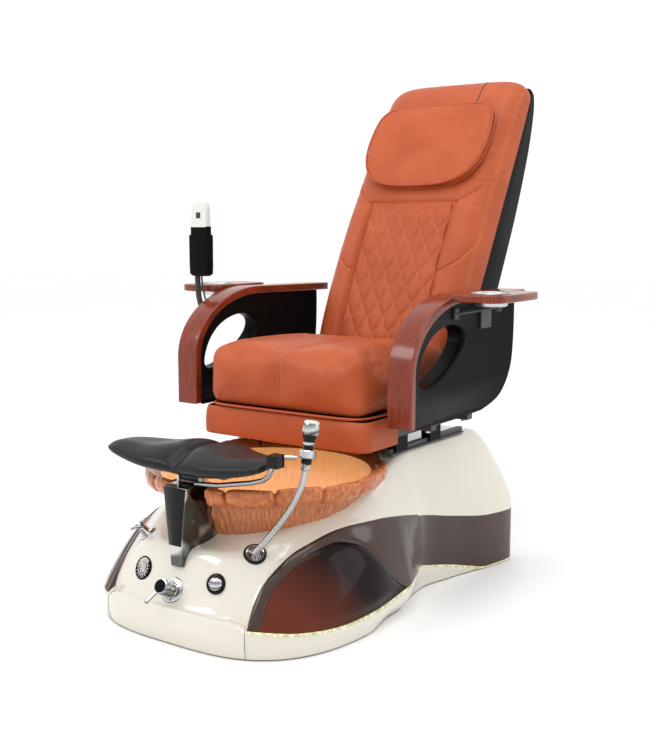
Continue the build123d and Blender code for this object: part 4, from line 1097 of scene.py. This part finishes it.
def back_relief(x, up):
    """How far the leather stands off the plain front, and the seams' grooves."""
    ax = np.abs(x)
    hw = HALF(up)
    quilt_in = smooth((QUILT_HALF - ax) / 6) * smooth((QUILT_TOP - up) / 8)
    a = x / DIAMOND_WIDE + (up - QUILT_TOP) / DIAMOND_HIGH
    b = x / DIAMOND_WIDE - (up - QUILT_TOP) / DIAMOND_HIGH
    puffs = (np.abs(np.sin(np.pi * a)) * np.abs(np.sin(np.pi * b))) ** 0.38
    relief = quilt_in * (6.5 * puffs - 4.5)
    crown = 5 * (1 - (ax / QUILT_HALF) ** 2) * smooth((QUILT_HALF - ax) / 40) * smooth((QUILT_TOP - up) / 60)
    relief += crown
    bolster = smooth((ax - QUILT_HALF) / 22) * smooth((hw + 8 - ax) / 60) * smooth((560 - up) / 120)
    relief += 13 * bolster
    relief -= 7.0 * gauss(ax - 143, 4.5) * smooth((505 - up) / 10)
    relief -= 6.0 * gauss(up - 503, 4.5) * smooth((160 - ax) / 20)
    # shoulder seam: a U from the outer edge down to the quilt's top corners
    y_of = np.interp(ax, [0, 148, 162, 201, 236, 246, 252, 300], [490, 500, 510, 548, 610, 650, 716, 745])
    dist = (up - y_of) * np.interp(ax, [148, 201, 236, 246, 252], [0.9, 0.7, 0.35, 0.25, 0.6])
    relief -= 5.0 * gauss(dist, 4.0) * (ax > 146)
    head = smooth(dist / 40)
    relief += 4 * head * smooth((hw - 10 - ax) / 40)
    # D seams on the bolsters
    d_x = np.interp(up, [269, 281, 311, 369, 452, 500], [150, 176, 208, 230, 243, 290])
    relief -= 3.6 * gauss(ax - d_x, 3.4) * (up > 270) * (up < 500)
    relief -= 3.2 * gauss(up - 268, 3.4) * (ax > 143) * (ax < 172)
    # border seam beside the outer edge
    relief -= 2.6 * gauss(ax - (hw - 13), 3.2) * (up < 940)
    # middle seam of the head part
    relief -= 2.6 * gauss(x, 3.2) * (up > 503) * (up < 600)
    return relief


ups = np.concatenate([np.linspace(BACK_FOOT, 940, 430), np.linspace(942, BACK_TOP, 41)[1:]])
ROWS, cols = len(ups), 301
even = np.linspace(-1, 1, cols)
across = np.sign(even) * np.abs(even) ** 0.94  # a little finer toward the sides
X = np.zeros((ROWS, cols))
for i, up in enumerate(ups):
    hw = float(HALF(up))
    if up > BACK_TOP - TOP_ROUND:
        hw -= TOP_ROUND - math.sqrt(max(TOP_ROUND**2 - (up - (BACK_TOP - TOP_ROUND)) ** 2, 0))
    X[i] = hw * across
U = np.repeat(ups[:, None], cols, 1)
hw_now = np.abs(X[:, -1])[:, None]
side = (np.clip(1 - (np.abs(X) / np.maximum(hw_now, 1)) ** 5.5, 0, 1)) ** (1 / 2.4)  # 0 at the rounded sides
relief = back_relief(X, U) * smooth((hw_now - np.abs(X)) / 12)
wr = np.zeros_like(X)  # creases at the shoulders and the top
for i in range(ROWS):
    for j in range(cols):
        x, up = X[i, j], U[i, j]
        v = noise.noise(Vector((x * 0.009, up * 0.009, 3.1))) * 2.0
        ax = abs(x)
        m = math.exp(-((ax - 222) / 42) ** 2) * math.exp(-((up - 590) / 105) ** 2)
        if m > 0.02:
            r = noise.noise(Vector(((up * 0.8 - ax * 0.55) * 0.045, (up * 0.3 + ax * 0.6) * 0.011,
                                    1.7 if x > 0 else 8.2)))
            v += m * (4.4 * (1 - 2.4 * abs(r)) - 1.5)
        m2 = math.exp(-((up - 905) / 45) ** 2) * (1 - (ax / 260) ** 2)
        if m2 > 0.02:
            v += m2 * 1.6 * noise.noise(Vector((x * 0.05, up * 0.014, 5.0)))
        wr[i, j] = v
# front of the leather; its edge meets the shell's plane
F = FRONT(U) + relief + wr * smooth((hw_now - np.abs(X)) / 30)
W = -12 + (F + 12) * side
verts = back_pts(X, U, W).reshape(-1, 3)
faces = grid_faces(ROWS, cols)
# close the rear, the foot and the top
foot = back_pts(X[0], BACK_FOOT, -11.9)
crest = back_pts(X[-1], BACK_TOP, -11.9)
base_n = len(verts)
verts = np.concatenate([verts, foot, crest])
t0 = (ROWS - 1) * cols
for j in range(cols - 1):
    faces.append((base_n + j, base_n + j + 1, j + 1, j))
    faces.append((t0 + j, t0 + j + 1, base_n + cols + j + 1, base_n + cols + j))
faces.append(tuple([i * cols for i in range(ROWS)] + [(i * cols) + cols - 1 for i in reversed(range(ROWS))]))
back = add_mesh("back_cushion_skin", verts, faces, TAN, 60)
face_outward(back)
shade(back, 75)
done(back, "back", ("back_cushion",))

BACK_TREE = tree_of(back)
into = Vector((0, C30, -S30))


def on_back(line, lift=0.3):
    """(x, up) points put on the leather."""
    return snap(BACK_TREE, [back_pts(x, u, 200).tolist() for x, u in line], into, lift)


def dense(points, step=6.0):
    """The same line with points about a step apart."""
    pts = np.array(points, float)
    s = np.concatenate([[0], np.cumsum(np.hypot(*np.diff(pts, axis=0).T))])
    t = np.linspace(0, s[-1], max(int(s[-1] / step), 2))
    return list(zip(np.interp(t, s, pts[:, 0]), np.interp(t, s, pts[:, 1])))


SEAMS = [[(148, 50), (148, 500)], [(237, 60), (237, 500), (236, 930)], [(233, 60), (233, 500), (232, 925)],
         [(150, 262), (180, 274), (212, 305), (234, 367), (240, 420)],
         [(148, 506), (165, 517), (203, 556), (232, 612), (240, 650)]]
sewn = []
for sx in (-1, 1):
    sewn += [on_back(dense([(sx * x, up) for x, up in seam])) for seam in SEAMS]
    sewn.append(on_back([(sx * 4, u) for u in np.arange(507, 560, 6)]))
sewn.append(on_back(dense([(-140, 507.5), (140, 507.5)])))
for k in range(-9, 10):
    for sgn in (-1, 1):
        line = []
        for u in np.arange(50, 499, 6.0):
            x = DIAMOND_WIDE * (k - sgn * (u - QUILT_TOP) / DIAMOND_HIGH)
            if abs(x) < 140:
                line.append((x, u))
        if len(line) > 3:
            sewn.append(on_back(line, 0.1))
done(stitches("back_stitches", [l for l in sewn if len(l) > 2], THREAD, 4.4, 2.6, 0.5), "back")
zip_line = on_back(dense([(108, 984), (110, 930), (114, 850)], 8), 0.2)
done(tubes("cover_zip", [zip_line], 1.3, DARK_SEAM, 2), "back")

# rear shell
SHELL_REAR = curve_through([(-10, -100), (60, -138), (150, -150), (500, -142), (750, -118), (930, -74), (975, -44)])
loop = [(8, -16), (8, -26)] + [(float(u), float(SHELL_REAR(u))) for u in np.linspace(24, 972, 60)] + [(975, -18)]
rear = plate("back_shell_skin", [loop], BACK_AXES, -240, 240, 16, BLACK, 50, HINGE)
done(rear, "back", ("back_shell",))

# pillow
half = [(0, 300), (120, 300), (168, 294), (194, 270), (203, 225), (206, 160), (200, 105), (182, 58), (150, 24),
        (105, 6), (50, 0), (0, -1)]
closed = smooth_line(half + [(-x, y) for x, y in half[-2:0:-1]] + half[:1], 3)
loop = [(float(PILLOW_LOW + y), float(x)) for x, y in closed[1:-1]]


def pillow_base(up):
    return float(FRONT(up)) + 3.0


def pillow_ring(lift, widen=1.0):
    """The pillow's outline, this far off the back."""
    return [back_pts(x * widen, u, pillow_base(u) + lift).tolist() for u, x in loop]


bm = bmesh.new()
low_v, high_v = ([bm.verts.new(Vector(p) * MM) for p in pillow_ring(lift)] for lift in (3, 27))
bm.faces.new(low_v)
bm.faces.new(list(reversed(high_v)))
for i in range(len(loop)):
    j = (i + 1) % len(loop)
    bm.faces.new((low_v[j], low_v[i], high_v[i], high_v[j]))
me = bpy.data.meshes.new("head_pillow_skin")
bm.to_mesh(me)
bm.free()
me.materials.append(TAN)
pillow = put("head_pillow_skin", me)
loop_xy = np.array([(x, u) for u, x in loop])


def pillow_hold(p):
    """Held where it lies on the back, and a little less along the sewn edge."""
    q = np.array([p.x, p.y, p.z]) - HINGE
    up = q[1] * S30 + q[2] * C30
    fwd = -q[1] * C30 + q[2] * S30
    d = np.min(np.hypot(loop_xy[:, 0] - q[0], loop_xy[:, 1] - up))
    if fwd < pillow_base(up) + 7:
        return 1.0
    return 0.9 if d < 6 else 0.0


pillow = puff(pillow, 0.0055, 5.0, 0.026, pillow_hold, tension=8.0)
co = np.array([v.co for v in pillow.data.vertices]) / MM
nr = np.array([v.normal for v in pillow.data.vertices])
q = co - HINGE
up = q[:, 1] * S30 + q[:, 2] * C30
fold = np.array([noise.noise(Vector((p[0] * 0.02, u * 0.012, 2.0))) * 1.6
                 + max(noise.noise(Vector((p[0] * 0.06, u * 0.015, 4.0))), 0) * 2.4
                 * math.exp(-((u - PILLOW_LOW) / 45) ** 2) for p, u in zip(co, up)])
co += nr * fold[:, None]
set_points(pillow, co * MM)
shade(pillow, 180)
done(pillow, "pillow", ("head_pillow",))
for name, lift in (("pillow_piping", 24), ("pillow_piping_low", 4)):
    pipe = pillow_ring(lift, 1.008)
    done(tubes(name, [pipe + pipe[:1]], 3.0, TAN, 4), "pillow")

# ---------------------------------------------------------------- arms
FRONT_Y, FOOT_Z, TOP_Z, REAR_Y = -82.0, 470.0, 788.0, 563.0
BEND_LONG, BEND_HIGH = 280.0, 190.0


def arm_curve(inset, count=40):
    """The arm's front and top, this far inside its outer line."""
    pts = [(FRONT_Y + inset, FOOT_Z)]
    for k in range(count + 1):
        a = math.pi - math.pi / 2 * k / count
        pts.append((FRONT_Y + BEND_LONG + (BEND_LONG - inset) * math.cos(a),
                    TOP_Z - BEND_HIGH + (BEND_HIGH - inset) * math.sin(a)))
    pts.append((REAR_Y, TOP_Z - inset - 4))
    return pts


REAR_EDGE = smooth_line([(500, 762), (501, 720), (499, 650), (492, 588), (470, 545), (440, 515), (410, 497),
                         (360, 483), (306, 474)], 2).tolist()
EYE = [(-38, 566), (-22, 628), (20, 676), (75, 702), (135, 712), (192, 700), (208, 674), (182, 638), (110, 592),
       (30, 563)]
eye_loop = smooth_loop(EYE, 3)
panel_loop = arm_curve(22.2)[:-1] + [(480, 762)] + REAR_EDGE + [(-59.8, 474)]
wood_loop = arm_curve(0) + arm_curve(22)[::-1]
foot_loop = [(40, 462), (292, 462), (292, 478), (40, 478)]
for sx, word in ((1, "left"), (-1, "right")):
    wood = plate(f"arm_wood_{word}_skin", [wood_loop], THICK_X, *sorted((sx * 310, sx * 379)), 3.2, WOOD, 35)
    done(wood, "seat", (f"arm_wood_{word}",))
    rim = plate(f"arm_rim_{word}", [panel_loop, eye_loop], THICK_X, *sorted((sx * 318, sx * 371)), 9, BLACK, 50)
    foot = plate(f"arm_foot_{word}", [foot_loop], THICK_X, *sorted((sx * 322, sx * 366)), 1.0, BLACK, 40)
    done(join(f"arm_panel_{word}_skin", [rim, foot]), "seat", (f"arm_panel_{word}",))

# ---------------------------------------------------------------- trays
CUP_X, CUP_Y, CUP_HOLE = 457, 178, 45
for sx, word in ((1, "left"), (-1, "right")):
    body = "tray_l" if sx > 0 else "tray_r"
    loop = smooth_loop([(388, 96), (430, 82), (486, 82), (524, 100), (530, 160), (531, 230), (528, 310), (516, 338),
                        (470, 340), (410, 340), (388, 330), (386, 250), (386, 160)], 3)
    hole = [(CUP_X + CUP_HOLE * math.cos(a), CUP_Y + CUP_HOLE * math.sin(a)) for a in around(64)]
    if sx < 0:
        loop, hole = [(-x, y) for x, y in loop], [(-x, y) for x, y in hole]
    board = plate(f"tray_{word}_skin", [loop, hole], THICK_Z, 772, 792, 4, WOOD, 40)
    done(board, body, (f"tray_{word}",))
    plane = ((sx * CUP_X, CUP_Y, 792), *THICK_Z)
    cup = revolve(f"cup_{word}_skin", [(0.4, -30), (30, -30), (38, -27), (41.5, -20), (42, -4), (42.6, 1), (44, 2.6),
                                       (48, 3.2), (51, 2.6), (52, 1), (51.5, 0.1), (46, 0.1), (44.7, -1),
                                       (44.7, -22), (42, -31), (34, -34), (0.4, -34)], plane, BRUSHED, 96, 50)
    done(cup, body, (f"cup_ring_{word}",))

# ---------------------------------------------------------------- remote control
RX, RY = -402.0, 50.0
face = plate("remote_skin", [smooth_loop([(-29, 834), (29, 834), (30, 850), (30, 1000), (27, 1026), (16, 1037),
                                          (-16, 1037), (-27, 1026), (-30, 1000), (-30, 850)], 2)],
             THICK_Y, RY - 11, RY + 11, 5, WHITE, 50, (RX, 0, 0))
band = plate("remote_band", [[(-30.6, 936), (30.6, 936), (30.6, 962), (-30.6, 962)]],
             THICK_Y, RY - 11.4, RY + 11.4, 3, BLACK, 50, (RX, 0, 0))
done(join("remote_skin", [face, band]), "remote_unit", ("remote",))
key = plate("remote_key_skin", [[(-8.3, 985.7), (8.3, 985.7), (8.3, 1002.3), (-8.3, 1002.3)]],
            THICK_Y, RY - 12, RY - 9.4, 1.0, RUBBER, 50, (RX, 0, 0))
done(key, "key", ("remote_key",))
cup_out = plate("holder_skin", [[(-33, 826), (-22, 820), (22, 820), (33, 826), (34.5, 850), (35, 930), (34, 939),
                                 (-34, 939), (-35, 930), (-34.5, 850)]],
                THICK_Y, RY - 15.5, RY + 15.5, 5, BLACK, 50, (RX, 0, 0))
done(cup_out, "seat", ("remote_holder",))
pts = np.array([(-383, 47, 712), (-396, 47, 722), (-408, 47.5, 745), (-414, 48, 775), (-416, 49, 802),
                (-418, 50, 832)])
fine = [tuple(float(np.interp(t, np.linspace(0, 1, 6), pts[:, k])) for k in range(3)) for t in np.linspace(0, 1, 30)]
for _ in range(4):
    fine = [fine[0]] + [tuple((np.array(a) + 2 * np.array(b) + np.array(c)) / 4)
                        for a, b, c in zip(fine, fine[1:], fine[2:])] + [fine[-1]]
stalk = tubes("stalk_tube", [fine], 8, RUBBER, 6)
foot = plate("stalk_foot", [[(32, 700), (62, 700), (62, 724), (32, 724)]], THICK_X, -383, -371, 2, BLACK, 40)
done(join("remote_stalk_skin", [stalk, foot]), "seat", ("remote_stalk",))
CORD = [(RX, RY, 833.7), (RX, RY, 816), (RX + 1, RY + 2, 798), (RX + 3, RY + 4, 780), (RX + 6, RY + 5, 762),
        (RX + 12, RY + 5, 746), (RX + 21, RY + 4, 731.5), (-371, RY + 4, 731.5)]
cord = cord_curve("remote_cord_skin", CORD, 2.5, RUBBER)
done(cord, "seat", ("remote_cord",))

# ---------------------------------------------------------------- CAD nodes, with their finishes
for node, ob in frame["nodes"].items():
    ob.data.materials.clear()
    ob.data.materials.append(NODE_LOOK[slot_of[node]])
    if not ob.hide_render:
        weld = ob.modifiers.new("weld", "WELD")
        weld.merge_threshold = 0.02 * MM
        edge = ob.modifiers.new("edges", "BEVEL")
        edge.width = 0.8 * MM
        edge.segments = 2
        edge.limit_method = "ANGLE"
        edge.angle_limit = math.radians(40)
        edge.use_clamp_overlap = True

# ---------------------------------------------------------------- floor, light and camera
bpy.ops.mesh.primitive_plane_add(size=40, location=(0, 0, 0))
floor = bpy.context.object
floor.name = "floor"
FLOOR = material("pale_floor", (0.94, 0.94, 0.94), 0.5, specular=0.2)
mottle(FLOOR, texture(FLOOR, 1.2, 2.0), (0.94, 0.94, 0.94), (0.95, 0.95, 0.95))
floor.data.materials.append(FLOOR)

world = bpy.data.worlds.new("studio")
scene.world = world
world.use_nodes = True
world.node_tree.nodes["Background"].inputs["Color"].default_value = (1.0, 1.0, 1.0, 1)
world.node_tree.nodes["Background"].inputs["Strength"].default_value = 1.05


def area(name, place, target, size, power):
    """A white panel of light that looks at target. Metres and watts."""
    light = bpy.data.lights.new(name, "AREA")
    light.shape = "RECTANGLE"
    light.size, light.size_y = size
    light.energy = power
    ob = put(name, light)
    ob.location = place
    ob.rotation_euler = (Vector(target) - Vector(place)).to_track_quat("-Z", "Y").to_euler()


area("key", (-1.5, -2.4, 2.9), (0, 0, 0.6), (1.6, 1.2), 34)
area("top", (0.4, -0.2, 3.4), (0, 0, 0.4), (2.2, 1.6), 30)
area("rim", (2.8, 1.4, 1.9), (0, 0.1, 0.7), (0.7, 1.8), 10)

cam = bpy.data.cameras.new("camera")
FOCAL_PX, PHOTO_HIGH_PX, SENSOR_MM = 1037.6, 750.0, 36.0
cam.sensor_width = SENSOR_MM
cam.lens = FOCAL_PX * SENSOR_MM / PHOTO_HIGH_PX
cam.shift_x = 0.0028
cam.shift_y = -0.0148
camera = put("camera", cam)
camera.location = (1.6157, -2.2222, 0.9467)
camera.rotation_euler = (math.radians(90 - 7.248), 0, math.radians(34.953))
scene.camera = camera
scene.view_settings.view_transform = "Standard"

bpy.context.view_layer.update()
